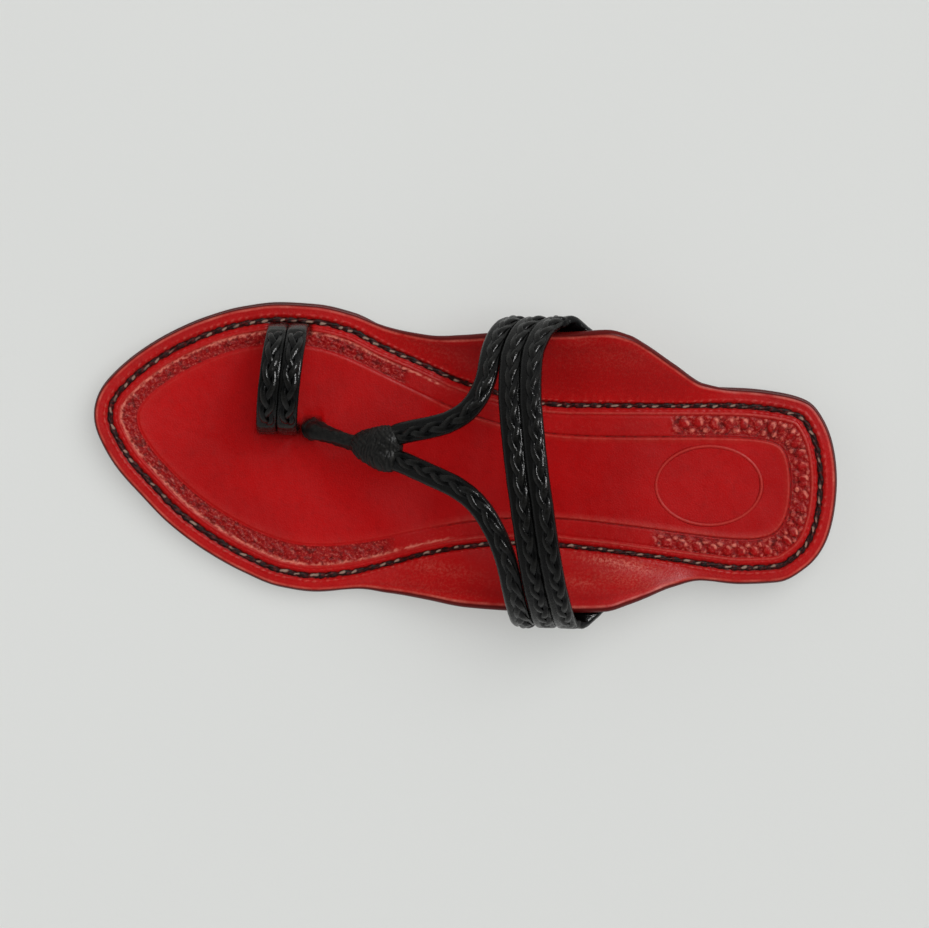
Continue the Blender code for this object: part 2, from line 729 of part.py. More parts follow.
def slot_cutter(name, x, y, length, width, collection):
    """An upright block through the insole, with its middle at the place."""
    shape = bmesh.new()
    bmesh.ops.create_cube(shape, size=1)
    height = INSOLE_THICKNESS * 4
    bmesh.ops.scale(shape, vec=Vector((length, width, height)), verts=shape.verts)
    bmesh.ops.translate(shape, vec=Vector((x, y, float(insole_underside(x)) + height / 4)), verts=shape.verts)
    mesh = bpy.data.meshes.new(name)
    shape.to_mesh(mesh)
    shape.free()
    return add_object(name, mesh, "red_leather", collection)


def cut_insole_slots(insole, parts, cutters):
    """Slots where the toe loop's two feet and the toe post go down into the insole."""
    long = 2 * (TOE_STRAND_WIDTH + GAP)
    wide = TOE_STRAND_THICKNESS + BRAID_RELIEF + 2 * GAP
    slots = []
    for name, foot in (("slot_inner", LOOP_INNER_FOOT), ("slot_outer", LOOP_OUTER_FOOT)):
        slots.append(slot_cutter(name, x_of(foot.along), foot.across * BALL_WIDTH, long, wide, parts))
    hole = post_hole()
    post = POST_DIAMETER + 2 * GAP
    slots.append(slot_cutter("slot_post", hole[0], hole[1], post, post, parts))
    cut(insole, slots, cutters)


def centre_on_floor(parts, cutters):
    """Moves everything so that the origin is the middle of the sandal's box, on the floor."""
    bpy.context.view_layer.update()
    graph = bpy.context.evaluated_depsgraph_get()
    low, high = np.full(3, np.inf), np.full(3, -np.inf)
    for made in parts.objects:
        mesh = made.evaluated_get(graph).to_mesh()
        points = np.array([vertex.co for vertex in mesh.vertices])
        low, high = np.minimum(low, points.min(axis=0)), np.maximum(high, points.max(axis=0))
    shift = Vector((-(low[0] + high[0]) / 2, -(low[1] + high[1]) / 2, -low[2]))
    for made in list(parts.objects) + list(cutters.objects):
        made.location = shift


def main():
    for made in list(bpy.data.objects):
        bpy.data.objects.remove(made)
    parts = bpy.data.collections.new("kolhapuri_sandal")
    cutters = bpy.data.collections.new("cutters")
    for collection in (parts, cutters):
        bpy.context.scene.collection.children.link(collection)
    for name in MATERIALS:
        make_material(name)
    build_outsole(parts)
    build_heel(parts)
    insole = build_insole(parts)
    cut_insole_slots(insole, parts, cutters)
    build_instep_band(parts)
    build_arms(parts)
    build_toe_post(parts)
    build_knot(parts, cutters)
    build_toe_loop(parts)
    centre_on_floor(parts, cutters)


main()
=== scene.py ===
"""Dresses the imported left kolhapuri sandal: tooled red leather, a laced seam and black plaited straps."""

import math
from collections import namedtuple

import bpy
import numpy as np
from mathutils import Matrix, Vector, noise


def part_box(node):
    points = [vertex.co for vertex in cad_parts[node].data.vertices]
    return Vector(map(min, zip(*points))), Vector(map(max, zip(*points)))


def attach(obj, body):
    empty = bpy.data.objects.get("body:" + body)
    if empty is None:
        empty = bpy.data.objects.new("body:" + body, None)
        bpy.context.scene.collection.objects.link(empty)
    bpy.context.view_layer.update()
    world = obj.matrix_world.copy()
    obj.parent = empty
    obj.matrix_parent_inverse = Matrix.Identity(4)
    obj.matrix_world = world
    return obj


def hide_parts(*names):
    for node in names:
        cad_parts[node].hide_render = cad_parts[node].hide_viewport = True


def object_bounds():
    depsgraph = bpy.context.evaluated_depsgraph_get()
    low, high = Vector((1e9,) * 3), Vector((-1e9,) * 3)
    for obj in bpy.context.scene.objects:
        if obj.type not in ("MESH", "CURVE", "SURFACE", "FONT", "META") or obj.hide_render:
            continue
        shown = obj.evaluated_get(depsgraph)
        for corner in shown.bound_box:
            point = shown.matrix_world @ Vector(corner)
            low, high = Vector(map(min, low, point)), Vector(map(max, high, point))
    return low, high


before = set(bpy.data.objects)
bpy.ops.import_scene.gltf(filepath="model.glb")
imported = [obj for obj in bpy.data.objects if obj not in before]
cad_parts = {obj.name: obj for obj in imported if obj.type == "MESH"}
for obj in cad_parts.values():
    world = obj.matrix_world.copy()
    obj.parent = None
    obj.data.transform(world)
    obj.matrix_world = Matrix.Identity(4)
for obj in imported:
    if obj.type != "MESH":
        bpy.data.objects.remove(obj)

CAD_LOW, CAD_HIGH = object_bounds()

bl_info = {
    "name": "Kolhapuri Sandal",
    "version": (1, 0, 0),
    "blender": (4, 5, 0),
    "location": "View3D > Sidebar > Sandal",
    "description": "Models a red kolhapuri sandal with tooled leather and plaited straps",
    "category": "Object",
}

# The construction's own sizes, in metres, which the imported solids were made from
SOLE_LENGTH = 0.258
BALL_WIDTH = 0.100
INSOLE_THICKNESS = 0.0032
OUTSOLE_THICKNESS = 0.0048
HEEL_HEIGHT = 0.006
HEEL_INSET = 0.0006
TOE_SPRING = 0.003
SEAM_MARGIN = 0.006
EAR_REACH = 0.020
EAR_LIFT = 0.016
GAP = 0.0003
EDGE_SLACK = 0.0009
STRAND_WIDTH = 0.0074
STRAND_THICKNESS = 0.0038
TOE_STRAND_WIDTH = 0.0070
TOE_STRAND_THICKNESS = 0.0036
INSTEP_HEIGHT = 0.060
KNOT_HEIGHT = 0.031
TAIL_LENGTH = 0.010
TAIL_SLANT = 0.011
LOOP_HEIGHT = 0.0245
LOOP_LEG = 0.0075
SLOT_WALL = 0.001
POST_DIAMETER = 0.0056
ARMS_APART = 0.0012
KNOT_LENGTH = 0.0185
KNOT_WALL = 0.00125
KNOT_WRAP = 0.00285
KNOT_WIDTH = 2 * STRAND_WIDTH + ARMS_APART + 2 * KNOT_WALL
KNOT_THICKNESS = STRAND_THICKNESS + 2 * KNOT_WRAP
SOCKET_DEPTH = 0.0022
PATH_STEP = 0.0065 / 4

# Where its forms start and stop, as shares of the sole's length from the toe
TOE_SPRING_END = 0.17
ARCH_START = 0.49
HEEL_BREAST = 0.745
CROWN = 0.63
EAR_FROM = 0.42
EAR_TO = 0.76
SPINE_FROM = 0.17
SPINE_TO = 0.87

# How its paths are divided: degrees round the arch, and metres along a tail for each degree past its ends
PATH_DEGREES = 3
METRES_PAST = 0.0004

# The sole's sections from the toe: shares of its length, of its ball width and of the ears' reach
Section = namedtuple("Section", "along medial lateral medial_ear lateral_ear")
SECTIONS = (
    Section(0.000, 0.191, 0.191, 0.00, 0.00),
    Section(0.010, 0.283, 0.094, 0.00, 0.00),
    Section(0.030, 0.345, 0.005, 0.00, 0.00),
    Section(0.060, 0.410, -0.085, 0.00, 0.00),
    Section(0.100, 0.474, -0.192, 0.00, 0.00),
    Section(0.150, 0.531, -0.289, 0.00, 0.00),
    Section(0.200, 0.567, -0.361, 0.00, 0.00),
    Section(0.250, 0.582, -0.412, 0.00, 0.00),
    Section(0.300, 0.575, -0.429, 0.00, 0.00),
    Section(0.350, 0.546, -0.416, 0.00, 0.03),
    Section(0.400, 0.484, -0.388, 0.085, 0.22),
    Section(0.450, 0.428, -0.354, 0.23, 0.485),
    Section(0.500, 0.370, -0.330, 0.53, 0.715),
    Section(0.550, 0.329, -0.317, 0.79, 0.82),
    Section(0.600, 0.298, -0.315, 0.96, 0.85),
    Section(0.650, 0.290, -0.326, 1.005, 0.80),
    Section(0.690, 0.290, -0.336, 1.04, 0.73),
    Section(0.720, 0.290, -0.346, 0.945, 0.57),
    Section(0.740, 0.290, -0.353, 0.80, 0.445),
    Section(0.780, 0.290, -0.367, 0.44, 0.18),
    Section(0.820, 0.290, -0.380, 0.10, 0.025),
    Section(0.870, 0.287, -0.394, 0.00, 0.00),
    Section(0.920, 0.273, -0.388, 0.00, 0.00),
    Section(0.960, 0.243, -0.335, 0.00, 0.00),
    Section(0.985, 0.161, -0.251, 0.00, 0.00),
    Section(1.000, -0.037, -0.037, 0.00, 0.00),
)

# The instep band's middle: degrees round the arch from the medial side, and the share of the sole's length
BAND = ((0, 0.611), (25, 0.586), (40, 0.5765), (55, 0.5745), (80, 0.581), (100, 0.590), (130, 0.6045),
        (150, 0.6145), (180, 0.6255))

# Each arm of the forked strap: the share of the sole's length, and the place across the arch from -1 to 1
MEDIAL_ARM = ((0.507, 0.435), (0.4795, 0.360), (0.4475, 0.304))
LATERAL_ARM = ((0.540, -0.325), (0.522, -0.184), (0.495, -0.070), (0.4635, -0.014))
MEDIAL_ARM_LEAVES = 50
LATERAL_ARM_LEAVES = 124
ARM_SOFT_FROM = 20
ARM_SOFTNESS = 14
POST_SOFTNESS = 8

# Places on the sole: shares of its length from the toe and of its ball width from the centreline
Place = namedtuple("Place", "along across")
KNOT = Place(0.3845, 0.094)
LOOP_INNER_FOOT = Place(0.2505, 0.146)
LOOP_OUTER_FOOT = Place(0.2655, 0.492)
OVAL_CENTRE = Place(0.8275, -0.048)

# The inner panel's line: the share of the sole's length, and its metres in from the seam on each side
PanelRow = namedtuple("PanelRow", "along medial lateral")
PANEL_LINE = (
    PanelRow(0.00, 0.0076, 0.0076),
    PanelRow(0.10, 0.0082, 0.0082),
    PanelRow(0.20, 0.0080, 0.0094),
    PanelRow(0.32, 0.0086, 0.0102),
    PanelRow(0.42, 0.0092, 0.0088),
    PanelRow(0.52, 0.0102, 0.0088),
    PanelRow(0.62, 0.0108, 0.0096),
    PanelRow(0.74, 0.0110, 0.0096),
    PanelRow(0.90, 0.0106, 0.0094),
    PanelRow(1.00, 0.0098, 0.0096),
)

# How far along the seam its inward directions are evened out, so that rows inside a tight bend don't cross
EVENED_RUN = 0.008

# How far along its length the inner panel's line is evened out, which rounds its corners
ROUNDED_RUN = 0.009

# Where the tooling stops at the waist on each side, and where the worn forefoot ends, as shares of the length
Sides = namedtuple("Sides", "medial lateral")
FOREFOOT_TOOLING_ENDS = Sides(0.440, 0.4155)
HEEL_TOOLING_STARTS = Sides(0.771, 0.743)
WORN_UNTIL = 0.5
WORN_FADE = 0.05

# Ridges of the top leather's face: how far they lie from what they follow, half their width, and their height
Ridge = namedtuple("Ridge", "place width height")
LIP = Ridge(0.00185, 0.00042, 0.00014)
RAISED_LINE = Ridge(0.0, 0.00036, 0.0)
LINE_FOOT = Ridge(0.0008, 0.00036, 0.00020)
WORN_LINE = Ridge(0.0009, 0.00040, 0.00022)
PANEL_GROOVE = Ridge(0.0, 0.00032, 0.0)
BROW = Ridge(0.0008, 0.0004, 0.00020)
FOOT_WELL = Ridge(0.0, 0.0009, 0.0007)

# The stamped band: how far past the raised line it starts, its soft edge, and the width it is charted for
BAND_START = 0.0005
BAND_SOFT = 0.0003
BAND_WIDTH = 0.0075

# Its stamps, charted in millimetres: how far across the band they lie, and half their length and width
Stamp = namedtuple("Stamp", "across length width")
BOSS = Stamp(2.9, 1.75, 2.15)
TOOTH = Stamp(0.9, 0.95, 0.85)
SMALL_BOSS = Stamp(5.4, 1.25, 1.00)

# The plan direction towards the lights, to the heel and the medial side, on which side the stamped bosses' edges
# are painted lighter as painted highlight
LIT_TOWARDS = np.array([0.77, 0.64])

# Sizes of the lumps in the hand's unevenness, in metres
RAGGED = 0.0014
STRIKE = 0.007
WARP = 0.004
GRIT = 0.0010
CRINKLE = 0.0013
BROKEN_LINE = 0.006

# The leather's main creases: middle, half length and half width in metres, turn in degrees, height, and
# how much the grain is wrinkled there and given a painted sheen
Crease = namedtuple("Crease", "x y length width turn height crinkle")
CREASES = (
    Crease(0.0520, -0.0325, 0.0130, 0.0021, -13, 0.0009, 1.0),
    Crease(0.0560, -0.0385, 0.0140, 0.0030, -10, -0.0005, 0.3),
    Crease(0.0400, -0.0400, 0.0090, 0.0020, -6, 0.0003, 0.3),
    Crease(-0.0150, -0.0420, 0.0200, 0.0040, -12, -0.0004, 0.1),
    Crease(-0.0120, -0.0350, 0.0160, 0.0024, -12, 0.0003, 0.25),
    Crease(0.0560, 0.0420, 0.0260, 0.0045, -2, -0.0005, 0.1),
    Crease(0.0420, 0.0475, 0.0070, 0.0011, -8, -0.0005, 0.2),
    Crease(-0.0080, 0.0430, 0.0180, 0.0030, -20, -0.0004, 0.1),
    Crease(-0.0700, -0.0080, 0.0400, 0.0140, 12, -0.0003, 0.0),
)

# Places of the top leather's rows: past the panel's line, out of the seam, and in from the edge above and below
PANEL_INSIDE = 0.0016
SEAM_OUTSIDE = 0.0025
RIM_INSIDE = 0.0016
UNDER_INSIDE = 0.0008

# The oval line's section: across and out, in metres, how far it is painted lighter at its crest as painted
# highlight, and how far it is painted darker at its foot as painted shade
OVAL_SECTION = (
    (-0.00085, -0.0002, 0, 0.6), (-0.00060, 0.00008, 0, 0.5), (-0.0003, 0.00029, 0.12, 0.1),
    (0, 0.00037, 0.25, 0), (0.0003, 0.00029, 0.12, 0.1), (0.00060, 0.00008, 0, 0.5),
    (0.00085, -0.0002, 0, 0.6), (-0.00085, -0.0002, 0, 0.6))

# The outsole's side from its top: share of its thickness, metres in from its edge, and how far it is stained
SOLE_SIDE = (
    (1.0, 0.004, 1.0), (1.0, 0.0016, 1.0), (0.985, 0.0006, 1.0), (0.93, 0.0002, 1.0), (0.82, 0.00002, 1.0),
    (0.66, 0, 1.0), (0.5, 0.00006, 1.0), (0.34, 0, 1.0), (0.18, 0.00002, 1.0), (0.08, 0.0002, 0.9),
    (0.02, 0.0006, 0.6), (0.0, 0.0012, 0.25), (0.0, 0.0024, 0.0), (0.0, 0.005, 0.0))

# A heel lift's side from its bottom: metres in from its edge, and share of its thickness
LIFT_SIDE = (
    (0.0016, 0), (0.0008, 0.02), (0.0004, 0.09), (0.0001, 0.25), (0, 0.5), (0.0001, 0.75), (0.0004, 0.91),
    (0.0008, 0.98), (0.0016, 1))
LIFT_GAP = 0.00004

# The wound knot from the toe's end: the share of its length, and of its full width and thickness
KNOT_WINDING = ((0.0, 0.25, 0.50), (0.11, 0.405, 0.70), (0.38, 0.65, 0.96), (0.69, 0.83, 1.06),
                (0.90, 0.81, 0.94), (1.0, 0.64, 0.58))
WOUND_LENGTH = 1.08 * KNOT_LENGTH

# A strap: its strands, their width and thickness, the plait's width and its shift to one side, how long its
# ends are plain, and how far it tapers into the knot, in metres
Strap = namedtuple("Strap", "strands width thickness plait_width shift plain_ends taper")

# How far a plait takes to rise from a plain end, and how deep it lies in the strap
PLAIT_FADE = 0.004
TROUGH_DEPTH = 0.00055
ROLL_HEIGHT = 0.00050

# The lights: where they stand, their strength, and their spread in degrees
Light = namedtuple("Light", "name place strength degrees")
GLOSS_LIGHT = "spark"
LIGHTS = (
    Light("key", (0.5, 0.4, 1.2), 2.15, 60),
    Light(GLOSS_LIGHT, (0.6, 0.55, 1.0), 3.6, 9),
    Light("fill", (-0.9, 0.3, 0.8), 0.4, 60),
    Light("low", (0.2, -1.0, 0.8), 0.25, 60),
)
SKY_TINT = (0.96, 0.98, 1.0, 1)
SENSOR = 36
LOOKED_AT_HEIGHT = 0.009

# How strongly the floor's board glows from below
FLOOR_GLOW = 0.85


def linear(hexadecimal):
    """A colour in sRGB hex as linear red, green and blue."""
    channels = [int(hexadecimal[i:i + 2], 16) / 255 for i in (0, 2, 4)]
    return tuple(c / 12.92 if c <= 0.04045 else ((c + 0.055) / 1.055) ** 2.4 for c in channels)


def colour_property(name, description, hexadecimal):
    return bpy.props.FloatVectorProperty(
        name=name, description=description, default=linear(hexadecimal), subtype="COLOR", size=3, min=0, max=1)


def length_property(name, description, default):
    return bpy.props.FloatProperty(
        name=name, description=description, default=default, min=0, unit="LENGTH", precision=5)


class SandalToolingSettings(bpy.types.PropertyGroup):
    """Sizes of what is pressed and laced into the top leather."""

    columns: bpy.props.IntProperty(
        name="Columns", description="Mesh columns round the sole", default=1160, min=200)
    motif_pitch: length_property("Motif pitch", "From one stamped boss to the next", 0.0053)
    motif_height: length_property("Motif height", "How far bosses stand out of the ground", 0.00080)
    ground_depth: length_property("Ground depth", "How deep the stamped ground is pressed", 0.00034)
    line_inset: length_property("Raised line inset", "From the lacing in to the raised line", 0.0029)
    line_height: length_property("Raised line height", "How far the raised line stands out", 0.00032)
    groove_depth: length_property("Groove depth", "How deep the inner panel's line is cut", 0.00045)
    channel_width: length_property("Channel width", "Width of the lacing's trough", 0.0027)
    channel_depth: length_property("Channel depth", "Depth of the lacing's trough", 0.0007)
    thong_width: length_property("Thong width", "Width of the twisted lacing", 0.0018)
    stitch_pitch: length_property("Stitch pitch", "From one twist of the lacing to the next", 0.0050)
    oval_length: length_property("Oval length", "Length of the plain oval on the heel", 0.0364)
    oval_width: length_property("Oval width", "Width of the plain oval on the heel", 0.0272)


class SandalPlaitSettings(bpy.types.PropertyGroup):
    """Sizes of the plaits on the straps."""

    lobe_pitch: length_property("Lobe pitch", "From one lobe of the plait to the next on its side", 0.0074)
    plait_width: length_property("Plait width", "Width of the plait on an instep strand", 0.0054)
    loop_plait_width: length_property("Loop plait width", "Width of each plait on the toe loop", 0.0063)
    plait_shift: length_property("Plait shift", "How far the plait lies to the heel side", 0.0010)
    lace_width: length_property("Lace width", "Width of one lace of a plait", 0.0026)
    lace_thickness: length_property("Lace thickness", "Thickness of one lace of a plait", 0.0017)
    step: length_property("Step", "How finely straps are divided along their length", 0.0006)


class SandalColourSettings(bpy.types.PropertyGroup):
    """Colours of the leathers, the lacing and the floor."""

    red: colour_property("Red", "Dyed top leather of the inner panel", "AE0608")
    border_red: colour_property("Border red", "Dyed top leather round the panel", "AC0B0C")
    # Also painted shade in the stamped ground
    deep_red_and_shade: colour_property("Deep red", "Hollows and handled places of the top leather", "7C0506")
    # Worn high spots, and painted highlight on lit boss edges, raised lines, brow, puckers, rim, oval crest and
    # ear creases
    rubbed_and_lit_red: colour_property("Rubbed red", "High spots where the dye has rubbed", "CC6A5A")
    # Also painted shade in the stamped ground, round the feet of the toe loop and post, at the oval's foot and
    # over the outer rows towards the top leather's edge
    burnish: colour_property("Burnish", "The waxed edge of the leather", "2E0A08")
    sole: colour_property("Sole", "Stained side of the sole", "5C1411")
    bottom: colour_property("Bottom", "Natural leather under the sole", "8A5A3A")
    black: colour_property("Black", "Plaited leather", "0D0D0C")
    # Painted shade in the gaps between the laces, under them and in the knot's and post's hollows
    painted_shade_black: colour_property("Hollow black", "Gaps between the laces", "040404")
    worn_black: colour_property("Worn black", "High spots of the plaited leather", "2A2926")
    thong: colour_property("Thong", "Waxed lacing", "140907")
    # Painted highlight on the upper face of the lacing's twists
    painted_glint: colour_property("Fleck", "Raw edges of the lacing", "8E7264")
    floor: colour_property("Floor", "Studio floor", "A6A7A5")


class SandalStageSettings(bpy.types.PropertyGroup):
    """The camera and lights."""

    camera_away: length_property("Camera distance", "From the sandal's middle", 1.293)
    camera_azimuth: bpy.props.FloatProperty(
        name="Camera offset along", description="Degrees that the camera leans to the heel", default=1.05)
    camera_lean: bpy.props.FloatProperty(
        name="Camera offset across", description="Degrees that it leans to the medial side", default=3.7)
    share_of_width: bpy.props.FloatProperty(
        name="Share of width", description="How much of the picture's width the sandal takes", default=0.80)


def smoothstep(value):
    value = np.clip(value, 0.0, 1.0)
    return value * value * (3 - 2 * value)


def bell(value):
    return np.exp(-value * value)


def across_ridge(away, ridge):
    """How far up a ridge a place lies, from 0 to 1."""
    return bell((away - ridge.place) / ridge.width)


def unit(vectors):
    """One vector, or rows of them, at length 1."""
    return vectors / np.linalg.norm(vectors, axis=-1, keepdims=True)


def quarter_turned(runs):
    """Plan directions turned by a quarter, from along an edge to square to it."""
    return np.column_stack([runs[:, 1], -runs[:, 0]])


def lengths_along(points):
    """How far along a path each of its points lies."""
    return np.concatenate([[0], np.cumsum(np.linalg.norm(np.diff(points, axis=0), axis=1))])


def full_turn(count):
    """Even angles round a circle, in radians."""
    return np.linspace(0, 2 * math.pi, count, endpoint=False)


def evened(rows, passes):
    """The rows of a closed loop, averaged with their neighbours."""
    for _ in range(passes):
        rows = (np.roll(rows, -1, axis=0) + 2 * rows + np.roll(rows, 1, axis=0)) / 4
    return rows


def soften(rows, passes):
    """Rounds a path's bends by averaging each row with its neighbours. Its two ends stay."""
    for _ in range(passes):
        rows = np.vstack([rows[:1], (rows[:-2] + 2 * rows[1:-1] + rows[2:]) / 4, rows[-1:]])
    return rows


def curve_through(knots, values):
    """A smooth function through rows of values that doesn't overshoot them (a monotone cubic)."""
    knots = np.asarray(knots, float)
    values = np.asarray(values, float)
    single = values.ndim == 1
    rows = values[:, None] if single else values
    grades = np.diff(rows, axis=0) / np.diff(knots)[:, None]
    before, after = grades[:-1], grades[1:]
    turned = before * after <= 0
    inner = np.where(turned, 0.0, 2 * before * after / np.where(turned, 1.0, before + after))
    tangents = np.vstack([grades[:1], inner, grades[-1:]])

    def at(where):
        where = np.clip(np.atleast_1d(np.asarray(where, float)), knots[0], knots[-1])
        row = np.clip(np.searchsorted(knots, where) - 1, 0, len(knots) - 2)
        width = (knots[row + 1] - knots[row])[..., None]
        part = (where - knots[row])[..., None] / width
        rest = 1 - part
        found = (
            rows[row] * rest * rest * (1 + 2 * part)
            + rows[row + 1] * part * part * (3 - 2 * part)
            + tangents[row] * width * part * rest * rest
            - tangents[row + 1] * width * part * part * rest
        )
        return found[..., 0] if single else found

    return at


def x_of(along):
    return (along - 0.5) * SOLE_LENGTH


def along_of(x):
    return x / SOLE_LENGTH + 0.5


def round_angle(along):
    return np.arccos(np.clip(1 - 2 * np.asarray(along, float), -1, 1))


def make_outline():
    """The sole's edge as a closed curve: y for an angle from -pi to pi, where the medial side is positive."""
    angles = [-float(round_angle(row.along)) for row in reversed(SECTIONS[1:])]
    angles += [float(round_angle(row.along)) for row in SECTIONS]
    across = [row.lateral for row in reversed(SECTIONS[1:])] + [row.medial for row in SECTIONS]
    turn = 2 * math.pi
    angles = [angles[-2] - turn] + angles + [angles[1] + turn]
    across = [across[-2]] + across + [across[1]]
    return curve_through(angles, np.array(across) * BALL_WIDTH)


OUTLINE = make_outline()
EAR_ANGLES = [float(round_angle(row.along)) for row in SECTIONS]
MEDIAL_EAR = curve_through(EAR_ANGLES, [row.medial_ear for row in SECTIONS])
LATERAL_EAR = curve_through(EAR_ANGLES, [row.lateral_ear for row in SECTIONS])

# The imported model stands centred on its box, so everything moves across by what its outsole moved
SHIFT = Vector((0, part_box("outsole")[1].y - float(np.max(OUTLINE(np.linspace(0, math.pi, 2000)))), 0))


def rise(x):
    """How high the outsole's underside stands over the floor."""
    along = along_of(x)
    toe = TOE_SPRING * np.clip((TOE_SPRING_END - along) / TOE_SPRING_END, 0, 1) ** 2
    heel = HEEL_HEIGHT * smoothstep((along - ARCH_START) / (HEEL_BREAST - ARCH_START))
    return toe + heel


def insole_underside(x):
    return rise(x) + OUTSOLE_THICKNESS + GAP


def insole_top(x):
    return insole_underside(x) + INSOLE_THICKNESS


def ear_profile(share):
    share = np.clip(share, 0, 1)
    return 0.6 * smoothstep(share) + 0.4 * share * share


def edges(x):
    """The sole's two edges, and the leather's two with the ears, as y: (lateral, medial, lateral, medial)."""
    angle = round_angle(along_of(x))
    lateral, medial = OUTLINE(-angle), OUTLINE(angle)
    return lateral, medial, lateral - EAR_REACH * LATERAL_EAR(angle), medial + EAR_REACH * MEDIAL_EAR(angle)


def lift(x, y):
    """How far the ears raise the top leather over the flat of the sole."""
    angle = round_angle(along_of(x))
    lateral, medial, lateral_edge, medial_edge = edges(x)
    medial_fold = (y - medial + SEAM_MARGIN) / (medial_edge - medial + SEAM_MARGIN)
    lateral_fold = (lateral + SEAM_MARGIN - y) / (lateral + SEAM_MARGIN - lateral_edge)
    curled = MEDIAL_EAR(angle) * ear_profile(medial_fold) + LATERAL_EAR(angle) * ear_profile(lateral_fold)
    return EAR_LIFT * curled


def leather_point(x, y, height):
    """A point of the top leather: over (x, y) of its underside, and a height out of it along its normal."""
    reach = 0.0030
    _, _, lateral_edge, medial_edge = edges(x)
    low, high = np.clip(y - reach, lateral_edge, medial_edge), np.clip(y + reach, lateral_edge, medial_edge)
    slope = (lift(x, high) - lift(x, low)) / np.maximum(high - low, 1e-6)
    size = np.sqrt(1 + slope * slope)
    z = insole_underside(x) + lift(x, y)
    return np.stack([x, y - slope / size * height, z + height / size], axis=-1)


def even_path(points, step):
    """The rows of a path at even steps along its first three columns, which are places."""
    lengths = lengths_along(points[:, :3])
    count = max(4, int(round(lengths[-1] / step)))
    return curve_through(lengths, points)(np.linspace(0, lengths[-1], count + 1))


def insole_section(x):
    """The construction's own section of the insole's underside at one station, as (y, z)."""
    across = np.array([0, 0.05, 0.11, 0.18, 0.26, 0.36, 0.5, 0.64, 0.74, 0.82, 0.89, 0.95, 1])
    _, _, lateral_edge, medial_edge = edges(np.array([x]))
    y = lateral_edge + (medial_edge - lateral_edge) * across
    stations = np.full_like(y, x)
    return np.column_stack([y, insole_underside(stations) + lift(stations, y)])


EAR_STATIONS = np.linspace(x_of(EAR_FROM), x_of(EAR_TO), 48)
EAR_UNDERSIDES = np.array([insole_section(x) for x in EAR_STATIONS])
KNOT_X = x_of(KNOT.along)
KNOT_Y = KNOT.across * BALL_WIDTH


def ear_underside(x, side):
    """The insole's underside at x as rows of (y, z), from the side's ear inwards."""
    place = (x - EAR_STATIONS[0]) / (EAR_STATIONS[1] - EAR_STATIONS[0])
    place = np.clip(place, 0, len(EAR_STATIONS) - 1.001)
    row = int(place)
    part = place - row
    under = EAR_UNDERSIDES[row] * (1 - part) + EAR_UNDERSIDES[row + 1] * part
    return under[::-1] if side > 0 else under


def crown_height(x):
    share = min((x - KNOT_X) / (x_of(CROWN) - KNOT_X), 1)
    return KNOT_HEIGHT + (INSTEP_HEIGHT - KNOT_HEIGHT) * share * (3 - share) / 2


def arch_at(x):
    """The arch that the straps follow at x: its middle, its half width, and the heights of its two ends."""
    medial, lateral = ear_underside(x, 1)[0], ear_underside(x, -1)[0]
    half = (medial[0] - lateral[0]) / 2 + GAP + EDGE_SLACK + STRAND_THICKNESS / 2
    return (medial[0] + lateral[0]) / 2, half, medial[1], lateral[1]


def strap_surface(x, turn):
    """The surface that the middle of the straps' thickness lies on: over the foot from the medial side's 0 to
    the lateral side's 180 degrees, and past either end round the ear's edge and in under it."""
    if 0 <= turn <= 180:
        middle, half, medial_z, lateral_z = arch_at(x)
        share = math.cos(math.radians(turn))
        base = (medial_z + lateral_z) / 2 + (medial_z - lateral_z) / 2 * share
        height = base + (crown_height(x) - base) * math.sin(math.radians(turn))
        return np.array([x, middle + half * share, height])
    side = 1 if turn < 0 else -1
    past = (-turn if side > 0 else turn - 180) * METRES_PAST
    reach = GAP + STRAND_THICKNESS / 2 + EDGE_SLACK * max(0, 1 - past / TAIL_LENGTH)
    under = ear_underside(x, side)
    y, z = under[0]
    slope = math.atan2(z - under[2, 1], side * (y - under[2, 0]))
    corner = reach * (math.pi / 2 - slope)
    lean = min(past / reach, corner / reach)
    inward = max(past - corner, 0)
    run = lengths_along(under)
    y, z = np.interp(inward, run, under[:, 0]), np.interp(inward, run, under[:, 1])
    return np.array([x, y + side * reach * math.cos(lean), z - reach * math.sin(lean)])


def loop_surface(x, turn):
    """The surface that the middle of the toe loop's thickness lies on, with straight legs past 0 and 180."""
    low, high = LOOP_INNER_FOOT.across * BALL_WIDTH, LOOP_OUTER_FOOT.across * BALL_WIDTH
    floor = float(insole_top(x_of(LOOP_INNER_FOOT.along)))
    over = min(max(turn, 0), 180)
    past = abs(turn - over) * METRES_PAST
    rise_over = LOOP_HEIGHT + TOE_STRAND_THICKNESS / 2 - LOOP_LEG
    height = floor + LOOP_LEG + rise_over * math.sin(math.radians(over)) - past
    return np.array([x, (low + high) / 2 + (high - low) / 2 * math.cos(math.radians(over)), height])


def slopes(surface, x, turn):
    """A surface's directions along x and along the turn, and its outward normal."""
    small_x, small_turn = 0.0005, 0.5
    along_x = (surface(x + small_x, turn) - surface(x - small_x, turn)) / (2 * small_x)
    along_turn = (surface(x, turn + small_turn) - surface(x, turn - small_turn)) / (2 * small_turn)
    return along_x, along_turn, unit(np.cross(along_turn, along_x))


def placed(surface, rows):
    """Rows of (x, turn) as rows of a place on the surface with its x and turn."""
    return np.array([[*surface(x, turn), x, turn] for x, turn in rows])


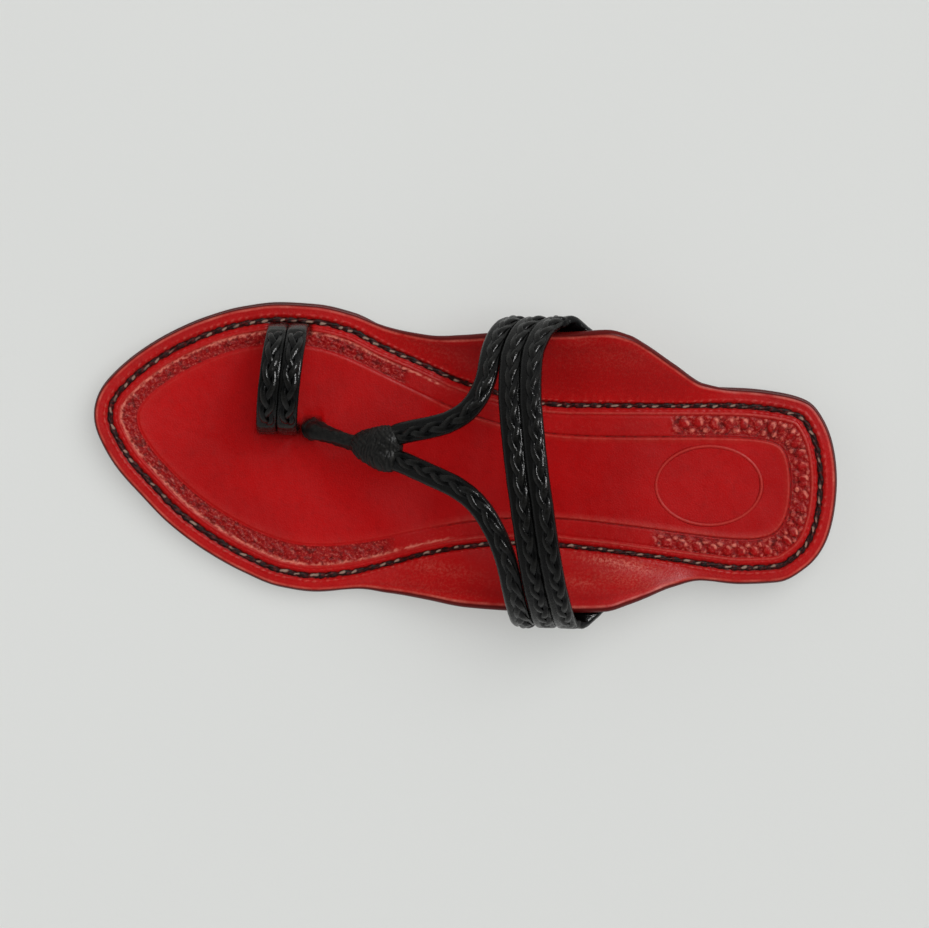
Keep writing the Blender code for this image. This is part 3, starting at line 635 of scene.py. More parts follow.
def beside(surface, path, across):
    """The rows of (x, turn) that run beside a placed path, a distance across it."""
    rows = []
    for row, run in zip(path, np.gradient(path[:, :3], axis=0)):
        along_x, along_turn, out = slopes(surface, *row[3:])
        sideways = unit(np.cross(run, out)) * across
        shift = np.linalg.lstsq(np.column_stack([along_x, along_turn]), sideways, rcond=None)[0]
        rows.append(row[3:] + shift)
    return np.array(rows)


def turns_with_tails(tail):
    """Even turns from one tail's end over the foot to the other's, and how long a tail is as a turn."""
    last = tail / METRES_PAST
    return np.linspace(-last, 180 + last, int((180 + 2 * last) / PATH_DEGREES)), last


def band_rows():
    """The instep band's middle as (x, turn)."""
    line = curve_through([angle for angle, _ in BAND], [along for _, along in BAND])
    turns, last = turns_with_tails(TAIL_LENGTH)
    slant = [TAIL_SLANT * (max(-turn, turn - 180, 0) / last) for turn in turns]
    return np.array([(x_of(line(turn)[0]) + across, turn) for turn, across in zip(turns, slant)])


def loop_rows():
    """The toe loop's middle as (x, turn)."""
    turns, _ = turns_with_tails(LOOP_LEG + INSOLE_THICKNESS - GAP)
    inner, outer = x_of(LOOP_INNER_FOOT.along), x_of(LOOP_OUTER_FOOT.along)
    shares = [(1 - math.cos(math.radians(min(max(turn, 0), 180)))) / 2 for turn in turns]
    return np.array([(outer + (inner - outer) * share, turn) for turn, share in zip(turns, shares)])


def front_of_band(medial):
    path = even_path(placed(strap_surface, band_rows()), PATH_STEP)
    rows = beside(strap_surface, path, 1.5 * STRAND_WIDTH + GAP)
    return rows if medial else rows[::-1]


def arm_end(medial):
    x = KNOT_X + KNOT_LENGTH / 2 - SOCKET_DEPTH
    y = KNOT_Y + (STRAND_WIDTH + ARMS_APART) / 2 * (1 if medial else -1)
    middle, half, _, _ = arch_at(x)
    return x, math.degrees(math.acos((y - middle) / half))


def arm_rows(table, leaves, medial):
    """One arm of the forked strap: up from its tail beside the band, then on to the knot, as (x, turn)."""
    along_band = front_of_band(medial)
    turns = along_band[:, 1] if medial else 180 - along_band[:, 1]
    leave = leaves if medial else 180 - leaves
    near = along_band[:int(np.argmax(turns > leave))]
    ahead = [(x_of(along), math.degrees(math.acos(across))) for along, across in table]
    path = even_path(placed(strap_surface, np.vstack([near, ahead, [arm_end(medial)]])), PATH_STEP)
    bend = int(np.argmax((path[:, 4] if medial else 180 - path[:, 4]) > ARM_SOFT_FROM))
    return np.vstack([path[:bend], soften(path[bend:], ARM_SOFTNESS)])[:, 3:]


def post_hole():
    x = x_of(LOOP_INNER_FOOT.along) + TOE_STRAND_WIDTH + GAP + SLOT_WALL + POST_DIAMETER / 2 + GAP
    return np.array([x, LOOP_INNER_FOOT.across * BALL_WIDTH, float(insole_top(x))])


def knot_frame():
    """The knot's middle, and its directions: towards the toe post, across, and up."""
    middle = np.array([KNOT_X, KNOT_Y, KNOT_HEIGHT])
    back_x = KNOT_X + KNOT_LENGTH
    back = np.array([back_x, KNOT_Y, crown_height(back_x)])
    forward = post_hole()
    forward[2] = (forward[2] + KNOT_HEIGHT) / 2
    axis = unit(forward - back)
    across = unit(np.cross([0, 0, 1], axis))
    return middle, axis, across, np.cross(axis, across)


def post_path():
    hole = post_hole()
    middle, axis, _, _ = knot_frame()
    end = middle + axis * (KNOT_LENGTH / 2 - SOCKET_DEPTH)
    foot = hole - [0, 0, INSOLE_THICKNESS - GAP]
    above = hole + [0, 0, POST_DIAMETER]
    return soften(even_path(np.array([foot, hole, above, end]), POST_DIAMETER / 4), POST_SOFTNESS)


def fine_noise(points, size):
    """Smooth noise from -1 to 1 at points in metres, with lumps of the given size."""
    flat = points.reshape(-1, points.shape[-1]) / size
    if flat.shape[1] == 2:
        flat = np.column_stack([flat, np.zeros(len(flat))])
    roughness, lacunarity, octaves = 1.0, 2.0, 2
    found = [noise.fractal(Vector(p), roughness, lacunarity, octaves, noise_basis="PERLIN_ORIGINAL")
             for p in flat]
    return np.array(found).reshape(points.shape[:-1])


def deselect_all():
    if bpy.context.mode != "OBJECT":
        bpy.ops.object.mode_set(mode="OBJECT")
    bpy.ops.object.select_all(action="DESELECT")


def wrapped_grid(name, points, uv_size, values, capped=False):
    """A grid primitive laid over rows of points, one row for each place along it, and closed round each row.
    Its UV map runs round and along, in metres. Values are point attributes, in arrays of the points' shape."""
    deselect_all()
    rows, count = points.shape[:2]
    bpy.ops.mesh.primitive_grid_add(x_subdivisions=count, y_subdivisions=rows - 1, size=1)
    made = bpy.context.object
    made.name = name
    made.location = (0, 0, 0)
    mesh = made.data
    points = np.concatenate([points, points[:, :1]], axis=1)
    mesh.vertices.foreach_set("co", (points + np.array(SHIFT)).astype(np.float32).ravel())
    uv = np.empty(len(mesh.loops) * 2, np.float32)
    mesh.uv_layers[0].data.foreach_get("uv", uv)
    uv = uv.reshape(-1, 2) * np.array(uv_size, np.float32)
    mesh.uv_layers[0].data.foreach_set("uv", uv.ravel())
    for key, value in values.items():
        value = np.concatenate([value, value[:, :1]], axis=1)
        mesh.attributes.new(key, "FLOAT", "POINT").data.foreach_set("value", value.astype(np.float32).ravel())
    bpy.ops.object.mode_set(mode="EDIT")
    bpy.ops.mesh.select_all(action="SELECT")
    bpy.ops.mesh.remove_doubles(threshold=0.000002)
    if capped:
        bpy.ops.mesh.select_all(action="DESELECT")
        bpy.ops.mesh.select_mode(type="EDGE")
        bpy.ops.mesh.select_non_manifold(extend=False, use_wire=False, use_multi_face=False,
                                         use_non_contiguous=False, use_verts=False)
        bpy.ops.mesh.fill_holes(sides=0)
    bpy.ops.mesh.select_all(action="SELECT")
    bpy.ops.mesh.normals_make_consistent(inside=False)
    bpy.ops.object.mode_set(mode="OBJECT")
    bpy.ops.object.shade_smooth()
    return made


def joined(name, pieces):
    """Joins pieces into the first, which takes the name."""
    deselect_all()
    for piece in pieces:
        piece.select_set(True)
    bpy.context.view_layer.objects.active = pieces[0]
    bpy.ops.object.join()
    made = bpy.context.object
    made.name = name
    made.data.name = name
    return made


def finished(piece, material, slot, *nodes):
    """Gives a piece its material and its place in the frame, and hides the solids that it stands for."""
    piece.data.materials.clear()
    piece.data.materials.append(material)
    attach(piece, "root")
    if nodes:
        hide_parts(*nodes)
    return piece


class SoleMap:
    """Columns square to the laced seam all round the sole, from its spine out to the leather's edge."""

    def __init__(self, columns):
        angles = np.linspace(-math.pi, math.pi, 6001)
        edge = np.column_stack([-np.cos(angles) * SOLE_LENGTH / 2, OUTLINE(angles)])
        tangent = np.gradient(edge, axis=0)
        tangent[0] = tangent[-1] = edge[1] - edge[-2]
        seam = edge + quarter_turned(unit(tangent)) * SEAM_MARGIN
        lengths = lengths_along(seam)
        self.total = lengths[-1]
        self.along = np.arange(columns) / columns * self.total
        self.seam = np.column_stack([np.interp(self.along, lengths, seam[:, i]) for i in (0, 1)])
        run = np.roll(self.seam, -3, axis=0) - np.roll(self.seam, 3, axis=0)
        self.run = unit(evened(run, self.passes(EVENED_RUN)))
        self.inward = quarter_turned(self.run)
        self.medial = self.seam[:, 1] > self.middle(self.seam[:, 0])
        self.share = along_of(self.seam[:, 0])
        self.sole_edge = self.reach_to(False)
        self.leather_edge = self.reach_to(True)
        mirrored = self.seam[(-np.arange(columns)) % columns]
        spine_x = np.clip((self.seam[:, 0] + mirrored[:, 0]) / 2, x_of(SPINE_FROM), x_of(SPINE_TO))
        self.spine = np.column_stack([spine_x, self.middle(spine_x)])

    @staticmethod
    def middle(x):
        angle = round_angle(along_of(x))
        return (OUTLINE(angle) + OUTLINE(-angle)) / 2

    def passes(self, length):
        """How many times rows are averaged with their neighbours to even them out over a length."""
        return int(2 * (length * len(self.seam) / self.total) ** 2)

    def at(self, inset):
        """Plan places in from the seam, one for each column."""
        return self.seam + self.inward * inset[:, None]

    def reach_to(self, with_ears):
        """How far out of the seam the edge is along each column, by halving."""
        farthest, halvings = 0.045, 34
        low, high = np.zeros(len(self.seam)), np.full(len(self.seam), farthest)
        for _ in range(halvings):
            half = (low + high) / 2
            x, y = self.at(-half).T
            lateral, medial, lateral_edge, medial_edge = edges(x)
            if with_ears:
                lateral, medial = lateral_edge, medial_edge
            inside = (np.abs(x) < SOLE_LENGTH / 2) & (y > lateral) & (y < medial)
            low, high = np.where(inside, half, low), np.where(inside, high, half)
        return (low + high) / 2

    def panel(self):
        """How far in from the seam the inner panel's line lies at each column, with its corners rounded."""
        alongs = [row.along for row in PANEL_LINE]
        medial = curve_through(alongs, [row.medial for row in PANEL_LINE])(self.share)
        lateral = curve_through(alongs, [row.lateral for row in PANEL_LINE])(self.share)
        blend = smoothstep((self.seam[:, 1] - self.middle(self.seam[:, 0])) / 0.02 + 0.5)
        line = evened(self.at(lateral + (medial - lateral) * blend), self.passes(ROUNDED_RUN))
        return ((line - self.seam) * self.inward).sum(axis=1)

    def tooled(self):
        """1 where the band is stamped with bosses and 0 where it is plain."""
        soft = 0.004 / SOLE_LENGTH
        fore = np.where(self.medial, *FOREFOOT_TOOLING_ENDS)
        heel = np.where(self.medial, *HEEL_TOOLING_STARTS)
        return np.maximum(smoothstep((fore - self.share) / soft), smoothstep((self.share - heel) / soft))


def stamped_bosses(along, across, pitch, lit_side):
    """The stamped band's form from 0 to 1, and how far each place is painted lighter: a row of round bosses
    whose edges carry a painted highlight on the side facing the lights, with small teeth between them on the
    outer side and small bosses on the inner side, lighter with wear. Along and across are in metres, and the lit
    side is a direction, as its shares along and across."""
    step, v = pitch * 1000, across * 1000
    in_step = (along * 1000 + step / 2) % step - step / 2
    between = (along * 1000) % step - step / 2
    u, w = in_step / BOSS.length, (v - BOSS.across) / BOSS.width
    away = np.hypot(u, w)
    bosses = smoothstep((1.10 - away) / 0.45)
    facing = (u * lit_side[0] + w * lit_side[1]) / np.maximum(away, 0.3)
    # Painted highlight: each boss's edge is lighter on the side facing the lights
    lit_rims = bell((away - 0.80) / 0.26) * smoothstep(0.15 + 0.85 * facing)
    teeth, small = (bell(np.hypot(between / stamp.length, (v - stamp.across) / stamp.width) ** 2)
                    for stamp in (TOOTH, SMALL_BOSS))
    form = np.maximum.reduce([bosses, 0.8 * small, 0.8 * teeth])
    return form, np.clip(lit_rims + 0.65 * small + 0.5 * teeth, 0, 1)


def creased(plan, inset):
    """The height of the given creases, and how far the grain is wrinkled and given a painted sheen."""
    form, crinkled_and_sheen = np.zeros_like(inset), np.zeros_like(inset)
    on_an_ear = smoothstep((-inset - 0.0018) / 0.0015)
    for crease in CREASES:
        turn = math.radians(crease.turn)
        x, y = plan[..., 0] - crease.x, plan[..., 1] - crease.y
        u = x * math.cos(turn) + y * math.sin(turn)
        v = y * math.cos(turn) - x * math.sin(turn)
        shape = bell(u / crease.length) * bell(v / crease.width)
        shape = shape * (on_an_ear if abs(crease.y) > 0.02 else 1.0)
        form += crease.height * shape
        crinkled_and_sheen = np.maximum(crinkled_and_sheen, crease.crinkle * shape)
    return form + crinkled_and_sheen * 0.00022 * fine_noise(plan, CRINKLE), crinkled_and_sheen


def feet_wells(plan):
    """1 just round the feet of the toe loop and the toe post, where the leather is drawn down and painted darker
    as shade, else 0.
    """
    hole = post_hole()
    feet = [(x_of(foot.along), foot.across * BALL_WIDTH, TOE_STRAND_WIDTH, TOE_STRAND_THICKNESS / 2)
            for foot in (LOOP_INNER_FOOT, LOOP_OUTER_FOOT)]
    feet.append((hole[0], hole[1], POST_DIAMETER / 2, POST_DIAMETER / 2))
    well = np.zeros(plan.shape[:-1])
    for x, y, half_length, half_width in feet:
        away = np.hypot(np.maximum(np.abs(plan[..., 0] - x) - half_length, 0),
                        np.maximum(np.abs(plan[..., 1] - y) - half_width, 0))
        well = np.maximum(well, across_ridge(away, FOOT_WELL))
    return well


def relief(plan, inset, along, mapped, tooling):
    """How far the top leather's face stands out or in at a plan place, with its masks for the finish, among them
    painted highlight and painted shade.
    """
    panel = mapped.panel()[None, :]
    worn_flat = smoothstep((WORN_UNTIL - mapped.share) / WORN_FADE)[None, :]
    ragged = fine_noise(np.stack([along, inset], axis=-1), RAGGED)
    stitches = np.cos(4 * math.pi * along / tooling.stitch_pitch)

    # The lacing's channel with its puckered lips
    channel = np.exp(-(inset / (tooling.channel_width / 2)) ** 4)
    lip = across_ridge(np.abs(inset), LIP)
    puckers = lip * smoothstep(-inset / 0.001) * smoothstep((stitches + 1.5 * ragged - 0.3) / 0.6) * 0.7
    form = lip * (LIP.height + 0.00008 * stitches + 0.00022 * ragged) - tooling.channel_depth * channel

    # The raised line beside it, the rubbed line along the forefoot, and the inner panel's line
    past_line = inset - tooling.line_inset
    line = across_ridge(past_line, RAISED_LINE)
    groove = across_ridge(inset - panel, PANEL_GROOVE) * (1 - 0.6 * worn_flat)
    brow = across_ridge(inset - panel, BROW) * (1 - 0.7 * worn_flat)
    form += tooling.line_height * line - LINE_FOOT.height * across_ridge(past_line, LINE_FOOT)
    form += BROW.height * brow - tooling.groove_depth * groove

    # The stamped band between them, struck by hand with uneven force
    first = tooling.line_inset + BAND_START
    last = panel - BAND_SOFT
    across = (inset - first) / np.maximum(last - first, 0.001) * BAND_WIDTH
    in_band = smoothstep((inset - first) / BAND_SOFT) * smoothstep((last - inset) / BAND_SOFT)
    stamped = in_band * mapped.tooled()[None, :]
    in_run = np.stack([along, across], axis=-1)
    strike = (0.85 + 0.5 * fine_noise(in_run * [1, 0.3], STRIKE)) * (1 - 0.6 * worn_flat)
    warp = 0.0006 * fine_noise(in_run + 0.5, WARP)
    # Painted highlight: the bosses' edges are lighter on the side that faces the lights
    lit_side = (mapped.run @ LIT_TOWARDS, mapped.inward @ LIT_TOWARDS)
    pressed, rubbed_and_lit = stamped_bosses(along + warp, across + 0.6 * warp, tooling.motif_pitch, lit_side)
    pressed = pressed * strike + (0.25 + 0.2 * worn_flat) * fine_noise(in_run + 0.8, GRIT)
    pressed = np.clip(pressed, 0, 1.3)
    rubbed_and_lit = np.clip(rubbed_and_lit * (0.8 + 1.1 * ragged) * (1 - 0.5 * worn_flat), 0, 1)
    form += stamped * (pressed * tooling.motif_height - tooling.ground_depth)
    broken = 0.85 + 0.9 * fine_noise(in_run * [1, 0] + 0.2, BROKEN_LINE) + 0.8 * ragged
    worn_line = across_ridge(past_line - 0.0006 * ragged, WORN_LINE) * worn_flat * np.clip(broken, 0, 1.2)
    form += WORN_LINE.height * worn_line

    creases, crinkled_and_sheen = creased(plan, inset)
    well = feet_wells(plan)
    form += creases - FOOT_WELL.height * well
    # Painted highlight along the raised line, the panel's brow and the puckered lips, and wear along the
    # forefoot's worn line
    raised_line = 0.35 * line * (1 - 0.8 * worn_flat)
    rubbed_lines = np.maximum.reduce([raised_line, 0.3 * brow, 0.45 * puckers, 1.7 * worn_line])
    thong_width = 0.00102 + 0.00030 * ragged + 0.00012 * stitches
    masks = {
        # Painted highlight on the lit side of each boss's edge, and wear on the small bosses and teeth
        "tooling": stamped * np.clip(rubbed_and_lit * (0.35 + 0.75 * strike), 0, 1),
        # Painted shade in the stamped ground
        "stamped": stamped * np.clip(1.25 - 0.9 * pressed, 0, 1),
        "panel": smoothstep((inset - panel) / 0.0008),
        # Darker in the panel's cut line, and painted shade round the feet of the toe loop and the toe post
        "groove": np.maximum(groove * (0.75 + 0.5 * ragged), well),
        # Painted highlight along the raised line, brow, puckers and rim, and wear along the worn line
        "line": rubbed_lines * (0.75 + 0.5 * ragged),
        "channel": np.exp(-(inset / thong_width) ** 6),
        # Painted sheen where the ear's creases catch the light, where the grain is also wrinkled
        "crinkled_and_sheen": crinkled_and_sheen,
    }
    return form, masks


# A row of the top leather: what it is measured from, its value there, and its share of the thickness
SoleRow = namedtuple("SoleRow", "kind value height")


def top_sole_rows():
    """The rows of the top leather from its spine out over the seam to the edge, and back under it. "spine" rows
    are shares of the way to the panel, "panel" rows metres in from the panel's line, "band" rows shares of the
    way across the stamped band, "seam" rows metres in from the seam, "outer" rows shares of the way to the rim,
    "rim" rows metres in from the edge, and "under" rows shares of the way back to the spine."""
    seam = (34, 31.5, 29, 26.5, 24, 21.5, 19, 16.5, 13.5, 9, 4.5, 0, -4.5, -9, -13.5, -16.5, -19, -22, -25)
    rim = ((0.0016, 1.0), (0.0011, 0.995), (0.0007, 0.96), (0.0004, 0.89), (0.00016, 0.76), (0.00004, 0.6),
           (0, 0.42), (0.00008, 0.24), (0.0003, 0.09), (0.0008, 0.0))
    rows = [SoleRow("spine", value, 1) for value in np.linspace(0, 1, 14)[:-1]]
    rows += [SoleRow("panel", value, 1) for value in (0.0012, 0.0008, 0.0005, 0.00025, 0, -0.00025, -0.0005)]
    rows += [SoleRow("band", value, 1) for value in np.linspace(1, 0, 19)]
    rows += [SoleRow("seam", value / 10000, 1) for value in seam]
    rows += [SoleRow("outer", value, 1) for value in np.linspace(0, 1, 9)[1:-1]]
    rows += [SoleRow("rim", inset, share) for inset, share in rim]
    rows += [SoleRow("under", value, 0) for value in (0.18, 0.42, 0.7, 1.0)]
    return rows


class SANDAL_OT_top_sole(bpy.types.Operator):
    """Models the top leather with its ears, laced channel, stamped bands and inner panel"""

    bl_idname = "sandal.top_sole"
    bl_label = "Top Sole"

    def execute(self, context):
        tooling = context.scene.sandal_tooling
        mapped = SoleMap(tooling.columns)
        panel = mapped.panel()
        ears = smoothstep((mapped.leather_edge - mapped.sole_edge) / 0.004)
        edge = mapped.leather_edge - 0.0005 * (1 - ears)
        first, last = tooling.line_inset + 0.0006, panel - 0.0007
        insets = {
            "panel": lambda value: panel + value,
            "band": lambda value: first + (last - first) * value,
            "seam": lambda value: 0 * panel + value,
            "outer": lambda value: -(SEAM_OUTSIDE + (edge - RIM_INSIDE - SEAM_OUTSIDE) * value),
            "rim": lambda value: -(edge - value),
        }
        panel_place = mapped.at(panel + PANEL_INSIDE)
        under_place = mapped.at(UNDER_INSIDE - edge)
        rows = top_sole_rows()
        inset, plan = [], []
        for row in rows:
            if row.kind == "spine":
                inset.append(panel + PANEL_INSIDE + 0.03 * (1 - row.value))
                plan.append(mapped.spine + (panel_place - mapped.spine) * row.value)
            elif row.kind == "under":
                inset.append(0 * panel - 1)
                plan.append(under_place + (mapped.spine - under_place) * row.value)
            else:
                inset.append(insets[row.kind](row.value))
                plan.append(mapped.at(inset[-1]))
        inset, plan = np.array(inset), np.array(plan)
        form, masks = relief(plan, inset, np.broadcast_to(mapped.along, inset.shape), mapped, tooling)
        swell = 0.00014 * fine_noise(plan, 0.018) + 0.00005 * fine_noise(plan, 0.004)
        share = np.array([row.height for row in rows])[:, None]
        height = share * INSOLE_THICKNESS + (form + swell) * (share > 0.9)
        # Darker towards the leather's edge: burnished at the edge, and painted shade over the outer rows
        masks["rim"] = inset * 0 + np.array([self.darkened(row) for row in rows])[:, None]
        # Painted highlight: a lit line along the top just inside the leather's edge
        lit = np.array([row.kind == "rim" and row.height > 0.95 and row.value < 0.0015 for row in rows])
        masks["line"] = np.maximum(masks["line"], 0.5 * lit[:, None] * (0.8 + fine_noise(plan, 0.006)))
        points = leather_point(plan[..., 0], plan[..., 1], height)
        piece = wrapped_grid("top_sole", points, (mapped.total, 0.12), masks)
        finished(piece, red_leather(context.scene.sandal_colours), "red_leather", "insole")
        return {"FINISHED"}

    @staticmethod
    def darkened(row):
        """How far a row is darkened towards the leather's edge: burnished at the edge and its rounded top, and
        painted
            shade over the outer rows before it.
        """
        if row.kind == "outer":
            return 0.32 * row.value ** 3
        if row.kind == "under":
            return 0.6
        if row.kind != "rim":
            return 0.0
        return 1.0 if row.height < 0.9 else 0.45 if row.value < 0.0008 else 0.0


class SANDAL_OT_heel_oval(bpy.types.Operator):
    """Models the plain oval line pressed up from the heel's leather"""

    bl_idname = "sandal.heel_oval"
    bl_label = "Heel Oval"

    def execute(self, context):
        tooling = context.scene.sandal_tooling
        angles = full_turn(180)
        rows = []
        for across, out, _, _ in OVAL_SECTION:
            x = x_of(OVAL_CENTRE.along) + np.cos(angles) * (tooling.oval_length / 2 + across)
            y = OVAL_CENTRE.across * BALL_WIDTH + np.sin(angles) * (tooling.oval_width / 2 + across)
            rows.append(leather_point(x, y, np.full_like(x, INSOLE_THICKNESS + out)))
        points = np.array(rows)
        zero = np.zeros(points.shape[:2])
        values = {key: zero for key in ("tooling", "stamped", "rim", "channel", "crinkled_and_sheen")}
        values["panel"] = zero + 1
        # Painted highlight on the oval's crest, and painted shade at its foot
        values["line"] = zero + np.array([row[2] for row in OVAL_SECTION])[:, None]
        values["groove"] = zero + np.array([row[3] for row in OVAL_SECTION])[:, None]
        piece = wrapped_grid("heel_oval", points, (0.1, 0.0015), values)
        finished(piece, bpy.data.materials["dyed_cowhide"], "red_leather")
        return {"FINISHED"}


class SANDAL_OT_edge_lacing(bpy.types.Operator):
    """Models the twisted thong that laces the layers together along the seam"""

    bl_idname = "sandal.edge_lacing"
    bl_label = "Edge Lacing"

    def execute(self, context):
        tooling = context.scene.sandal_tooling
        mapped = SoleMap(1500)
        turns = round(mapped.total / (2 * tooling.stitch_pitch))
        twist = mapped.along / mapped.total * turns * 2 * math.pi
        run = np.column_stack([mapped.along, 0 * mapped.along])
        wobble = 0.00018 * fine_noise(run, 0.006) + 0.00022 * fine_noise(run + 2, 0.0018)
        ring = full_turn(8)
        # How far each corner of a ply faces up to the lights, for its painted highlight
        facing = np.clip(np.cos(ring - 1.5), 0, 1) ** 2
        plies = []
        for ply in (0, 1):
            phase = twist + ply * math.pi + 0.9 * fine_noise(run, 0.009)
            across = 0.19 * tooling.thong_width * np.cos(phase) + wobble
            out = INSOLE_THICKNESS - 0.00052 + 0.00022 * np.sin(phase)
            thick = 1 + 0.15 * np.cos(2 * phase) + 0.40 * fine_noise(run + ply, 0.0017)
            rings = []
            for corner in ring:
                plan = mapped.at(across + 0.34 * tooling.thong_width * thick * math.cos(corner))
                rings.append(leather_point(*plan.T, out + 0.00044 * thick * math.sin(corner)))
            points = np.array(rings).transpose(1, 0, 2)
            broken = smoothstep((fine_noise(run + 3 * ply, 0.007) + 0.50) / 0.7)
            # Painted highlight on each ply's upper face at the crown of each twist
            painted_glint = smoothstep((np.cos(phase - 1.3 + 0.5 * ply) - 0.66) / 0.34) * broken
            painted_glint = painted_glint[:, None] * facing
            points, painted_glint = (np.concatenate([rows, rows[:1]]) for rows in (points, painted_glint))
            plies.append(wrapped_grid("ply", points, (0.008, mapped.total), {"painted_glint": painted_glint}))
        finished(joined("edge_lacing", plies), waxed_thong(context.scene.sandal_colours), "black_leather")
        return {"FINISHED"}


class SANDAL_OT_outsole(bpy.types.Operator):
    """Models the outsole with its burnished, slightly rounded side"""

    bl_idname = "sandal.outsole"
    bl_label = "Outsole"

    def execute(self, context):
        mapped = SoleMap(520)
        rings = [(mapped.spine, 1.0, 1.0)]
        rings += [(mapped.at(inset - mapped.sole_edge), level, stain) for level, inset, stain in SOLE_SIDE]
        inner = rings[-1][0]
        rings += [(inner + (mapped.spine - inner) * share, 0.0, 0.0) for share in (0.4, 1.0)]
        points = np.array([np.column_stack([plan, rise(plan[:, 0]) + OUTSOLE_THICKNESS * level])
                           for plan, level, _ in rings])
        stained = np.array([np.full(len(plan), stain) for plan, _, stain in rings])
        piece = wrapped_grid("outsole_leather", points, (mapped.total, 0.06), {"edge": stained})
        finished(piece, sole_leather(context.scene.sandal_colours), "sole_leather", "outsole")
        return {"FINISHED"}


class SANDAL_OT_heel(bpy.types.Operator):
    """Models the heel's two stacked leather lifts"""

    bl_idname = "sandal.heel"
    bl_label = "Heel"

    def execute(self, context):
        first = float(round_angle(HEEL_BREAST))
        angles = np.linspace(first, 2 * math.pi - first, 240)
        signed = np.where(angles > math.pi, angles - 2 * math.pi, angles)
        curve = np.column_stack([-np.cos(signed) * SOLE_LENGTH / 2, OUTLINE(signed)])
        breast = curve[-1] + (curve[0] - curve[-1]) * np.linspace(0, 1, 40)[1:-1, None]
        outline = np.vstack([curve, breast])
        inward = quarter_turned(unit(np.roll(outline, -2, axis=0) - np.roll(outline, 2, axis=0)))
        middle = outline.mean(axis=0)
        if ((middle - outline) * inward).sum() < 0:
            inward = -inward
        cap = middle + (outline - middle) * 0.02
        sides = [(outline + inward * (HEEL_INSET + inset), level) for inset, level in LIFT_SIDE]
        rings = [(cap, 0), *sides, (cap, 1)]
        split = (HEEL_HEIGHT - GAP) / 2
        lifts = []
        for low, high in ((0, split - LIFT_GAP), (split + LIFT_GAP, 2 * split)):
            points = np.array([np.column_stack([plan, np.full(len(plan), low + (high - low) * level)])
                               for plan, level in rings])
            stained = np.array([np.full(len(plan), 1.0 if 0 < level < 1 else 0.0) for plan, level in rings])
            lifts.append(wrapped_grid("lift", points, (0.2, 0.01), {"edge": stained}, True))
        leather = bpy.data.materials["stained_sole_leather"]
        finished(joined("heel_lifts", lifts), leather, "sole_leather", "heel")
        return {"FINISHED"}


def frames_square_to(path, outwards):
    """Frames along a path, with their outward side as near to the given directions as it can be: places, runs,
    sides and outward normals."""
    runs = unit(np.gradient(path, axis=0))
    sides = unit(np.cross(runs, np.broadcast_to(outwards, runs.shape)))
    return path, runs, sides, np.cross(sides, runs)


def strand_frames(surface, rows, shift, step):
    """Frames along a strand, beside the middle of its strap by the shift."""
    path = even_path(placed(surface, rows), step)
    if shift:
        path = placed(surface, beside(surface, path, shift))
    outs = soften(np.array([slopes(surface, *row[3:])[2] for row in path]), 3)
    return frames_square_to(path[:, :3], outs)


def lengthened(frames, extra):
    """Frames that go on straight past their end, so that a strap's end is buried in what it goes into."""
    places, *directions = frames
    more = places[-1] + directions[0][-1] * np.linspace(0, extra, 7)[1:, None]
    held = [np.vstack([rows, np.repeat(rows[-1:], len(more), axis=0)]) for rows in directions]
    return (np.vstack([places, more]), *held)


def swept(name, frames, section, values):
    """A closed tube along frames, whose section is an array of (across, out) for each place along them."""
    places, _, sides, outs = frames
    points = places[:, None] + sides[:, None] * section[..., :1] + outs[:, None] * section[..., 1:]
    return wrapped_grid(name, points, (0.02, lengths_along(places)[-1]), values, True)


def rounded(value, power):
    """A sine or cosine with its shoulders squared off or drawn in by a power."""
    return np.sign(value) * np.abs(value) ** power


